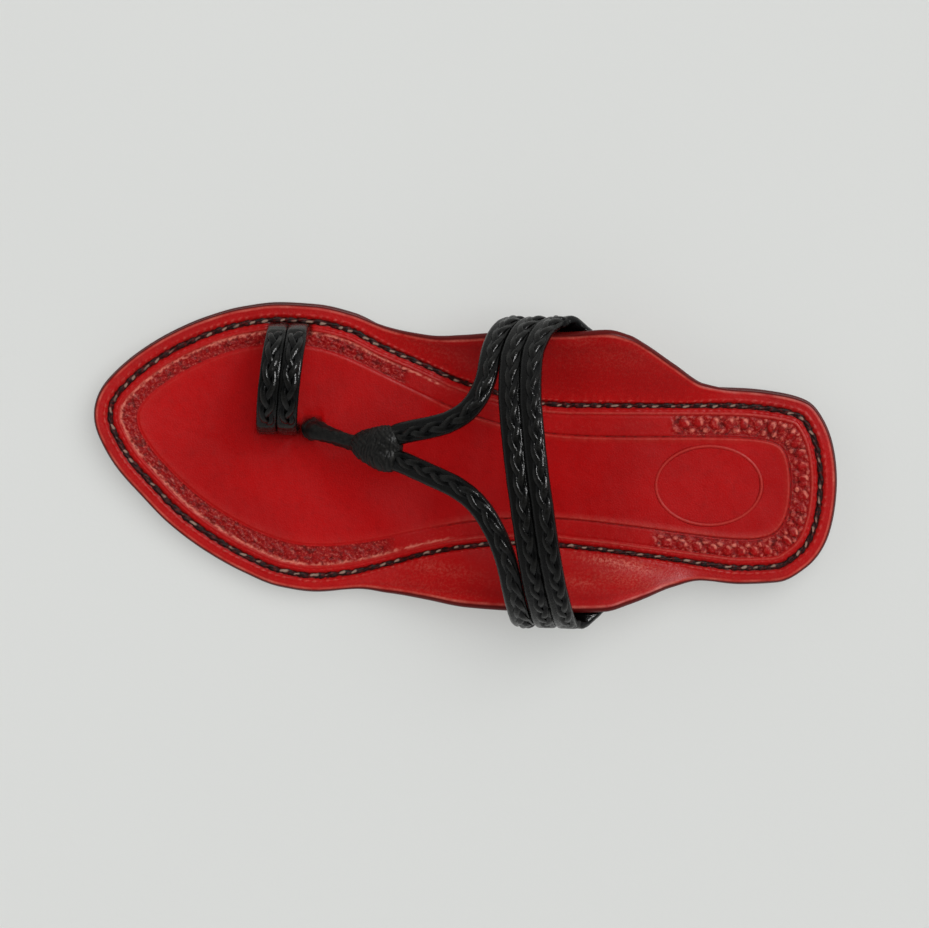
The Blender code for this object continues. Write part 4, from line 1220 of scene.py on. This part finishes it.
def plaited_strand(frames, strap, plait, phase):
    """One strand: a smooth folded strap with a plait of three laces on its face, whose points look towards the
    path's end. The plait lies to the side that the shift gives and rolls over the strap's edge there, and the
    other side is a smooth roll. The plait sinks away over the plain ends, where the strap is creased, and the
    taper narrows the strand's last stretch."""
    along = lengths_along(frames[0])
    left = along[-1] - along
    run = np.column_stack([along, 0 * along + phase])
    shown = (smoothstep((along - strap.plain_ends[0]) / PLAIT_FADE)
             * smoothstep((left - strap.plain_ends[1]) / PLAIT_FADE))
    narrow = 1 - 0.45 * smoothstep((strap.taper - left) / strap.taper) if strap.taper else 1 + 0 * along
    heelward = np.sign(strap.shift)
    half_lace = plait.lace_thickness / 2

    corners = full_turn(24)
    upper = np.clip(np.sin(corners), 0, 1)
    half, bottom, top = strap.width / 2 + 0.00006, -strap.thickness / 2, strap.thickness / 2 - 0.00060
    across = half * rounded(np.cos(corners), 0.42)
    out = (top + bottom) / 2 + (top - bottom) / 2 * rounded(np.sin(corners), 0.62)
    section = np.broadcast_to(np.column_stack([across, out]), (len(along), len(corners), 2)).copy()
    creases = 0.00022 * (1 - shown) * fine_noise(run * [1, 0.2], 0.0016)
    section[..., 1] += upper * (creases + TROUGH_DEPTH * (1 - shown))[:, None]
    under_plait = bell((across - strap.shift) / (strap.plait_width * 0.40))
    section[..., 1] -= TROUGH_DEPTH * shown[:, None] * upper * under_plait
    roll = abs(heelward) * shown[:, None] * upper * bell((heelward * across + 0.0021) / 0.0013)
    section[..., 1] += ROLL_HEIGHT * roll
    section[..., 0] += 0.00010 * fine_noise(run, 0.005)[:, None]
    section *= narrow[:, None, None]
    worn = 0.75 * (1 - shown)[:, None] * upper
    # Painted shade: the strand's sides and underside are a darker black than its upper face
    pieces = [swept("strap", frames, section, {"worn": worn, "crown": 0.35 * upper + 0 * worn})]

    period = 3 * plait.lobe_pitch
    scale = strap.width / STRAND_WIDTH
    swing = (strap.plait_width - plait.lace_width) / 2 * scale
    base = strap.thickness / 2 + 0.00030 - half_lace - 0.00042
    ring = full_turn(12)
    c, s = np.cos(ring), np.sin(ring)
    for lace in range(3):
        turn = 2 * math.pi * (along / period + lace / 3 + phase) + 0.25 * fine_noise(run + 5, 0.012)
        jitter = 1 + 0.10 * fine_noise(run + lace, 0.007)
        a = strap.shift + swing * np.sin(turn) * jitter
        o = base - 0.00046 * np.sin(2 * turn) - 0.0012 * (1 - shown)
        o += 0.00012 * fine_noise(run + lace + 9, 0.005)
        o -= 0.45 * abs(heelward) * np.clip(heelward * a - 0.0016, 0, None)
        slope = swing * np.cos(turn) * 2 * math.pi / period
        lean = 0.75 * np.sin(turn)[:, None]
        flat = c * plait.lace_width / 2 * scale * (np.sqrt(1 + slope * slope) * jitter)[:, None]
        high = rounded(s, 0.85) * half_lace
        sideways = flat * np.cos(lean) + high * np.sin(lean)
        upwards = high * np.cos(lean) - flat * np.sin(lean) * 0.6
        section = np.stack([a[:, None] + sideways, o[:, None] + upwards], axis=-1) * narrow[:, None, None]
        # Painted shade: each lace is darker away from its upper crown and where it sinks into the strap
        crown = np.clip(s, 0, 1) ** 2 * smoothstep((o - base + 0.0002)[:, None] / 0.0005)
        pieces.append(swept("lace", frames, section, {"worn": 0.3 * crown, "crown": crown}))
    return pieces


def plaited_strap(name, surface, rows, strap, plait):
    """A strap of one or more plaited strands side by side, in place of the solid of the same name."""
    pieces = []
    for strand in range(strap.strands):
        frames = strand_frames(surface, rows, (strand - (strap.strands - 1) / 2) * strap.width, plait.step)
        if strap.taper:
            frames = lengthened(frames, strap.taper)
        pieces += plaited_strand(frames, strap, plait, 0.37 * strand)
    piece = joined("plaited_" + name, pieces)
    return finished(piece, bpy.data.materials["black_plaited_leather"], "black_leather", name)


class SANDAL_OT_straps(bpy.types.Operator):
    """Models the instep band and the two arms of the forked strap, with a real plait on each strand"""

    bl_idname = "sandal.straps"
    bl_label = "Instep Straps"

    def execute(self, context):
        plait = context.scene.sandal_plait
        black_leather("black_plaited_leather", context.scene.sandal_colours, (0.17, 0.33))
        size = (STRAND_WIDTH, STRAND_THICKNESS, plait.plait_width)
        band = Strap(2, *size, -plait.plait_shift, (0.010, 0.020), 0)
        arm = Strap(1, *size, -plait.plait_shift, (0.011, 0.0), SOCKET_DEPTH * 2)
        plaited_strap("instep_band", strap_surface, band_rows(), band, plait)
        rows = arm_rows(MEDIAL_ARM, MEDIAL_ARM_LEAVES, True)
        plaited_strap("front_strap_medial", strap_surface, rows, arm, plait)
        rows = arm_rows(LATERAL_ARM, LATERAL_ARM_LEAVES, False)
        plaited_strap("front_strap_lateral", strap_surface, rows, arm._replace(shift=plait.plait_shift), plait)
        return {"FINISHED"}


class SANDAL_OT_toe_loop(bpy.types.Operator):
    """Models the loop that goes over the big toe"""

    bl_idname = "sandal.toe_loop"
    bl_label = "Toe Loop"

    def execute(self, context):
        plait = context.scene.sandal_plait
        strap = Strap(2, TOE_STRAND_WIDTH, TOE_STRAND_THICKNESS, plait.loop_plait_width, 0, (0.017, 0.020), 0)
        plaited_strap("toe_loop", loop_surface, loop_rows(), strap, plait)
        return {"FINISHED"}


class SANDAL_OT_toe_post(bpy.types.Operator):
    """Models the post between the toes, a thong folded and twisted on itself"""

    bl_idname = "sandal.toe_post"
    bl_label = "Toe Post"

    def execute(self, context):
        path = even_path(post_path(), 0.0004)
        frames = frames_square_to(path, np.array([0.35, 0, 1.0]))
        along = np.linspace(0, 1, len(path))[:, None]
        ring = full_turn(40)[None, :]
        turn = ring - 1.1 * along
        ridges = 0.28 * np.abs(np.sin(1.5 * turn + 0.4)) ** 0.6 + 0.08 * np.cos(4 * turn)
        fold = 0.20 * bell((along - 0.42) / 0.06) * (0.6 + 0.4 * np.cos(ring - 2.2))
        radius = POST_DIAMETER / 2 * (1.26 - 0.36 * smoothstep(along * 1.2)) * (0.80 + ridges + fold)
        surface = np.stack([along * 0.03 + 0 * ring, 0.002 * ring + 0 * along], axis=-1)
        radius = radius + 0.00032 * fine_noise(surface, 0.0022)
        section = np.stack([1.06 * radius * np.cos(ring), 0.94 * radius * np.sin(ring)], axis=-1)
        # Painted shade: the post's hollows are darker than its ridges
        crown = np.clip((ridges - 0.08) / 0.18, 0, 1)
        piece = swept("folded_toe_post", frames, section, {"worn": 0.4 * crown, "crown": 0.5 * crown})
        leather = black_leather("black_binding", context.scene.sandal_colours, (0.38, 0.55))
        finished(piece, leather, "black_leather", "toe_post")
        return {"FINISHED"}


class SANDAL_OT_knot(bpy.types.Operator):
    """Models the knot where the straps meet, a heart-shaped lump closely wound with thin thong"""

    bl_idname = "sandal.knot"
    bl_label = "Knot"

    def execute(self, context):
        middle, axis, across, up = knot_frame()
        rows = np.array(KNOT_WINDING)
        shares = (1 - np.cos(np.linspace(0.02, math.pi - 0.02, 120))) / 2
        share, angle = np.meshgrid(shares, full_turn(132), indexing="ij")
        sizes = curve_through(rows[:, 0], rows[:, 1:])(shares)
        half_width = KNOT_WIDTH / 2 * sizes[:, :1]
        half_thickness = KNOT_THICKNESS / 2 * sizes[:, 1:] * 0.92
        length = (share - 0.5) * WOUND_LENGTH
        round_it = np.sin(angle) * half_thickness + np.cos(angle) * half_width
        spot = np.stack([length, round_it], axis=-1)
        warp = 0.0010 * fine_noise(spot, 0.005)
        arcs = length + 9.0 * round_it * round_it + warp
        turns = np.abs(np.sin(math.pi * arcs / 0.00135))
        crossing = np.abs(np.sin(math.pi * (0.75 * length - 0.7 * round_it + 1.3 * warp) / 0.0016))
        over = smoothstep(0.5 + 2.6 * fine_noise(spot + 0.3, 0.0032))
        wound = turns ** 0.6 * over + crossing ** 0.6 * (1 - over)
        out = 0.00040 * wound + 0.00022 * fine_noise(spot + 0.7, 0.0011)
        ends = np.sqrt(np.clip(1 - np.abs(2 * share - 1) ** 8, 0, 1))
        cleft = 1 - 0.30 * bell((angle - math.pi / 2) / 0.30) * smoothstep((share - 0.62) / 0.30)
        points = (middle - axis * length[..., None]
                  + across * ((half_width * ends + out) * np.cos(angle))[..., None]
                  + up * ((half_thickness * ends * cleft + out) * np.sin(angle))[..., None])
        # Painted shade: the winding's grooves are darker than its turns, which are also worn grey
        values = {"worn": np.clip(wound - 0.3, 0, 1) * 0.8, "crown": 0.4 * wound}
        piece = wrapped_grid("wound_knot", points, (0.05, KNOT_LENGTH), values, True)
        finished(piece, bpy.data.materials["black_binding"], "black_leather", "knot")
        return {"FINISHED"}


def add_node(tree, kind, inputs=None, **settings):
    """Adds a node with its settings, and its inputs as values or as links from other nodes' sockets."""
    node = tree.nodes.new(kind)
    for key, value in settings.items():
        setattr(node, key, value)
    for key, value in (inputs or {}).items():
        if isinstance(value, bpy.types.NodeSocket):
            tree.links.new(value, node.inputs[key])
        else:
            node.inputs[key].default_value = value
    return node


def new_material(name, specular):
    """An empty material: (material, node tree, shader, the object's own coordinates)."""
    material = bpy.data.materials.new(name)
    material.use_nodes = True
    tree = material.node_tree
    shader = tree.nodes["Principled BSDF"]
    shader.inputs["Specular IOR Level"].default_value = specular
    return material, tree, shader, add_node(tree, "ShaderNodeTexCoord").outputs["Object"]


def coated(tree, colour, *coats):
    """Lays coats over a colour, each a share and a colour. A colour is its channels or a socket."""
    for share, coat in coats:
        node = add_node(tree, "ShaderNodeMix", {0: share}, data_type="RGBA")
        for place, value in ((6, colour), (7, coat)):
            if isinstance(value, bpy.types.NodeSocket):
                tree.links.new(value, node.inputs[place])
            else:
                node.inputs[place].default_value = (*value, 1)
        colour = node.outputs[2]
    return colour


def ranged(tree, value, low, high, new_low=0.0, new_high=1.0):
    """Maps a value from one range to another, held at its ends."""
    inputs = {0: value, 1: low, 2: high, 3: new_low, 4: new_high}
    return add_node(tree, "ShaderNodeMapRange", inputs).outputs[0]


def calculated(tree, operation, first, second):
    return add_node(tree, "ShaderNodeMath", {0: first, 1: second}, operation=operation).outputs[0]


def speckle(tree, coordinates, millimetres, detail=3.0, roughness=0.55):
    """Noise whose lumps are about the given size, from 0 to 1."""
    inputs = {"Vector": coordinates, "Scale": 1000 / millimetres, "Detail": detail, "Roughness": roughness}
    return add_node(tree, "ShaderNodeTexNoise", inputs).outputs[0]


def pores(tree, coordinates, millimetres, depth):
    """The gaps between the pores of a grain of the given size, from 0 up to 1 at a depth into each pore."""
    inputs = {"Vector": coordinates, "Scale": 1000 / millimetres}
    cells = add_node(tree, "ShaderNodeTexVoronoi", inputs, feature="DISTANCE_TO_EDGE")
    return ranged(tree, cells.outputs["Distance"], 0.0, depth)


def attribute(tree, name):
    return add_node(tree, "ShaderNodeAttribute", attribute_name=name).outputs["Fac"]


def masked(tree, name, pattern, *limits):
    """One of the mesh's masks, broken up by a pattern that is mapped to the limits."""
    return calculated(tree, "MULTIPLY", attribute(tree, name), ranged(tree, pattern, *limits))


def bumped(tree, shader, height, metres, previous=None):
    """Adds a bump of the given depth in metres, over any bump before it, and gives it to the shader."""
    inputs = {"Height": height, "Distance": metres, "Strength": 1.0}
    if previous is not None:
        inputs["Normal"] = previous
    output = add_node(tree, "ShaderNodeBump", inputs).outputs[0]
    tree.links.new(output, shader.inputs["Normal"])
    return output


def red_leather(colours):
    """Vegetable-tanned cowhide, dyed red by hand, stamped and given a wax finish. Its high spots are lighter, as
    wear and as painted highlight, its hollows are darker as painted shade, the grain is fine, and the wax gives
    a soft broad gloss."""
    material, tree, shader, place = new_material("dyed_cowhide", 0.11)
    fine = speckle(tree, place, 0.9, 5.0, 0.7)
    mottle = speckle(tree, place, 2.6, 4.0, 0.65)
    border = calculated(tree, "SUBTRACT", 1.0, attribute(tree, "panel"))
    thin_dye = calculated(tree, "MULTIPLY", border, ranged(tree, fine, 0.52, 0.72, 0.0, 0.09))
    # Painted highlight on the lit side of each boss's edge, and wear on the small bosses and teeth
    worn = masked(tree, "tooling", mottle, 0.34, 0.56, 0.35, 1.15)
    deep, rubbed_and_lit, waxed_and_shaded = colours.deep_red_and_shade, colours.rubbed_and_lit_red, colours.burnish
    colour = coated(
        tree, colours.border_red,
        (attribute(tree, "panel"), colours.red),
        (ranged(tree, speckle(tree, place, 34), 0.42, 0.66, 0.0, 0.30), deep),
        (ranged(tree, mottle, 0.50, 0.78, 0.0, 0.30), deep),
        (thin_dye, rubbed_and_lit),
        # Painted shade in the stamped ground, in deep red and wax brown
        (masked(tree, "stamped", fine, 0.35, 0.6, 1.0, 0.45), deep),
        (masked(tree, "stamped", mottle, 0.50, 0.64, 0.0, 0.6), waxed_and_shaded),
        (ranged(tree, worn, 0.15, 0.85), rubbed_and_lit),
        (masked(tree, "stamped", fine, 0.54, 0.66, 0.0, 0.42), rubbed_and_lit),
        # Painted highlight along the raised line, brow, puckers, rim and oval crest, and wear along the worn
        # line
        (masked(tree, "line", fine, 0.38, 0.6, 0.6, 1.0), rubbed_and_lit),
        # Painted sheen on the ear's creases
        (masked(tree, "crinkled_and_sheen", fine, 0.44, 0.58, 0.1, 0.9), rubbed_and_lit),
        # Darker in the panel's cut line, and painted shade round the feet of the toe loop and post and at the
        # oval's foot
        (ranged(tree, attribute(tree, "groove"), 0.25, 1.0, 0.0, 0.8), waxed_and_shaded),
        (ranged(tree, attribute(tree, "channel"), 0.1, 0.8, 0.0, 0.92), waxed_and_shaded),
        # Burnished at the edge, and painted shade over the outer rows towards it
        (ranged(tree, attribute(tree, "rim"), 0.1, 0.9, 0.0, 0.8), waxed_and_shaded))
    tree.links.new(colour, shader.inputs["Base Color"])
    gloss = ranged(tree, speckle(tree, place, 6), 0.3, 0.7, 0.36, 0.46)
    glazed = calculated(tree, "MULTIPLY", attribute(tree, "crinkled_and_sheen"), -0.10)
    tree.links.new(calculated(tree, "ADD", gloss, glazed), shader.inputs["Roughness"])
    first = bumped(tree, shader, pores(tree, place, 0.9, 0.25), 0.00002)
    roughened = calculated(tree, "ADD", attribute(tree, "stamped"), attribute(tree, "crinkled_and_sheen"))
    rough = calculated(tree, "MULTIPLY", fine, ranged(tree, roughened, 0.0, 1.0, 0.4, 1.8))
    bumped(tree, shader, rough, 0.00012, first)
    return material


def sole_leather(colours):
    """Thick sole leather, stained and burnished on its side with wax and a hot iron, and natural underneath."""
    material, tree, shader, place = new_material("stained_sole_leather", 0.35)
    long_place = add_node(tree, "ShaderNodeMapping", {"Vector": place, "Scale": (1, 1, 14)}).outputs[0]
    layers = speckle(tree, long_place, 9, 4.0, 0.6)
    blotches = speckle(tree, place, 5, 5.0, 0.7)
    side = coated(tree, colours.sole, (ranged(tree, layers, 0.35, 0.7), colours.burnish))
    colour = coated(tree, colours.bottom, (ranged(tree, blotches, 0.35, 0.75, 0.0, 0.8), colours.sole),
                    (attribute(tree, "edge"), side))
    tree.links.new(colour, shader.inputs["Base Color"])
    tree.links.new(ranged(tree, attribute(tree, "edge"), 0, 1, 0.75, 0.42), shader.inputs["Roughness"])
    first = bumped(tree, shader, layers, 0.00010)
    bumped(tree, shader, speckle(tree, place, 0.8, 5.0, 0.7), 0.00010, first)
    return material


def black_leather(name, colours, gloss):
    """Goat leather, dyed black, cut into laces, plaited damp and given a coat of wax. Each lace shines along its
    crown and is painted darker away from it and in the gaps, as shade, and its grain has dulled to grey-brown
    where it is handled."""
    material, tree, shader, place = new_material(name, 0.20)
    mottle = speckle(tree, place, 1.6, 4.0, 0.65)
    # Painted shade: darker black in the gaps and under the laces, plain black on their crowns
    colour = coated(tree, colours.painted_shade_black,
                    (ranged(tree, attribute(tree, "crown"), 0.0, 0.35), colours.black),
                    (masked(tree, "worn", mottle, 0.35, 0.62), colours.worn_black))
    tree.links.new(colour, shader.inputs["Base Color"])
    tree.links.new(ranged(tree, mottle, 0.3, 0.7, *gloss), shader.inputs["Roughness"])
    first = bumped(tree, shader, pores(tree, place, 0.7, 0.22), 0.000015)
    bumped(tree, shader, speckle(tree, place, 1.3, 4.0, 0.6), 0.00013, first)
    return material


def waxed_thong(colours):
    """Rawhide thong soaked in dark wax, so it is nearly black, with painted highlights on the upper face of its
    twists.
    """
    material, tree, shader, place = new_material("waxed_thong", 0.16)
    mottle = speckle(tree, place, 1.2, 4.0, 0.65)
    stains = speckle(tree, place, 1.1, 3.0, 0.6)
    colour = coated(tree, colours.thong, (ranged(tree, mottle, 0.4, 0.7), colours.burnish),
                    (ranged(tree, stains, 0.50, 0.62, 0.0, 0.35), colours.deep_red_and_shade),
                    # Painted highlight on the twists
                    (ranged(tree, attribute(tree, "painted_glint"), 0.15, 0.7), colours.painted_glint))
    tree.links.new(colour, shader.inputs["Base Color"])
    tree.links.new(ranged(tree, mottle, 0.3, 0.7, 0.5, 0.7), shader.inputs["Roughness"])
    bumped(tree, shader, speckle(tree, place, 0.5, 4.0, 0.7), 0.00010)
    return material


def studio_floor(colours):
    """Opal acrylic board lit from below: pale, matt, a little uneven in tone, with weak shadows."""
    material, tree, shader, place = new_material("opal_board", 0.1)
    darker = tuple(0.97 * channel for channel in colours.floor)
    clouds = ranged(tree, speckle(tree, place, 400, 2.0), 0.35, 0.65)
    tree.links.new(coated(tree, colours.floor, (clouds, darker)), shader.inputs["Base Color"])
    shader.inputs["Roughness"].default_value = 0.9
    shader.inputs["Emission Color"].default_value = (*colours.floor, 1)
    shader.inputs["Emission Strength"].default_value = FLOOR_GLOW
    bumped(tree, shader, speckle(tree, place, 1.5, 3.0), 0.00003)
    return material


class SANDAL_OT_stage(bpy.types.Operator):
    """Adds the pale floor, the soft studio lights and the camera nearly straight above"""

    bl_idname = "sandal.stage"
    bl_label = "Stage"

    def execute(self, context):
        scene, stage = context.scene, context.scene.sandal_stage
        deselect_all()
        bpy.ops.mesh.primitive_plane_add(size=6, location=(0, 0, -0.0001))
        floor = context.object
        floor.name = "studio_floor"
        bpy.ops.object.transform_apply(location=True, rotation=False, scale=False)
        floor.data.materials.append(studio_floor(scene.sandal_colours))
        low, high = CAD_LOW, CAD_HIGH
        centre = Vector(((low.x + high.x) / 2, (low.y + high.y) / 2, LOOKED_AT_HEIGHT))
        along, lean = math.radians(stage.camera_azimuth), math.radians(stage.camera_lean)
        towards = Vector((math.tan(along), math.tan(lean), 1)).normalized()
        bpy.ops.object.camera_add(location=centre + towards * stage.camera_away)
        camera = context.object
        camera.name = "camera"
        side = Vector((0, 1, 0)).cross(towards).normalized()
        top = towards.cross(side)
        camera.rotation_euler = Matrix((side, top, towards)).transposed().to_euler()
        camera.data.sensor_width = SENSOR
        camera.data.lens = SENSOR * stage.camera_away * stage.share_of_width / (high.x - low.x)
        camera.data.clip_end = 20
        scene.camera = camera
        for lamp in LIGHTS:
            bpy.ops.object.light_add(type="SUN", location=lamp.place)
            light = context.object
            light.name = lamp.name
            light.visible_glossy = lamp.name == GLOSS_LIGHT
            light.visible_diffuse = lamp.name != GLOSS_LIGHT
            light.rotation_euler = Vector(lamp.place).to_track_quat("Z", "Y").to_euler()
            light.data.energy = lamp.strength
            light.data.angle = math.radians(lamp.degrees)
        scene.world = bpy.data.worlds.new("studio")
        scene.world.use_nodes = True
        sky = scene.world.node_tree
        background = sky.nodes["Background"]
        towards_sky = add_node(sky, "ShaderNodeTexCoord").outputs["Generated"]
        upwards = add_node(sky, "ShaderNodeSeparateXYZ", {0: towards_sky}).outputs["Z"]
        background.inputs["Color"].default_value = SKY_TINT
        sky.links.new(ranged(sky, upwards, 0.35, 0.9, 0.50, 0.06), background.inputs["Strength"])
        scene.view_settings.view_transform = "Standard"
        return {"FINISHED"}


STEPS = ("top_sole", "heel_oval", "edge_lacing", "outsole", "heel", "straps", "toe_loop", "toe_post", "knot",
         "stage")


class SANDAL_PT_sidebar(bpy.types.Panel):
    """Lists the sandal's pieces and their settings"""

    bl_idname = "SANDAL_PT_sidebar"
    bl_label = "Sandal"
    bl_space_type = "VIEW_3D"
    bl_region_type = "UI"
    bl_category = "Sandal"

    def draw(self, context):
        for step in STEPS:
            self.layout.operator("sandal." + step)
        for group in SETTINGS:
            settings = getattr(context.scene, group)
            for key in settings.bl_rna.properties.keys():
                if key not in ("rna_type", "name"):
                    self.layout.prop(settings, key)


SETTINGS = {
    "sandal_tooling": SandalToolingSettings,
    "sandal_plait": SandalPlaitSettings,
    "sandal_colours": SandalColourSettings,
    "sandal_stage": SandalStageSettings,
}
CLASSES = (
    *SETTINGS.values(), SANDAL_OT_top_sole, SANDAL_OT_heel_oval, SANDAL_OT_edge_lacing, SANDAL_OT_outsole,
    SANDAL_OT_heel, SANDAL_OT_straps, SANDAL_OT_toe_loop, SANDAL_OT_toe_post, SANDAL_OT_knot, SANDAL_OT_stage,
    SANDAL_PT_sidebar,
)


def register():
    for made in CLASSES:
        bpy.utils.register_class(made)
    for group, settings in SETTINGS.items():
        setattr(bpy.types.Scene, group, bpy.props.PointerProperty(type=settings))


def unregister():
    for group in SETTINGS:
        delattr(bpy.types.Scene, group)
    for made in reversed(CLASSES):
        bpy.utils.unregister_class(made)


def main():
    register()
    for step in STEPS:
        getattr(bpy.ops.sandal, step)()


if __name__ == "__main__":
    main()
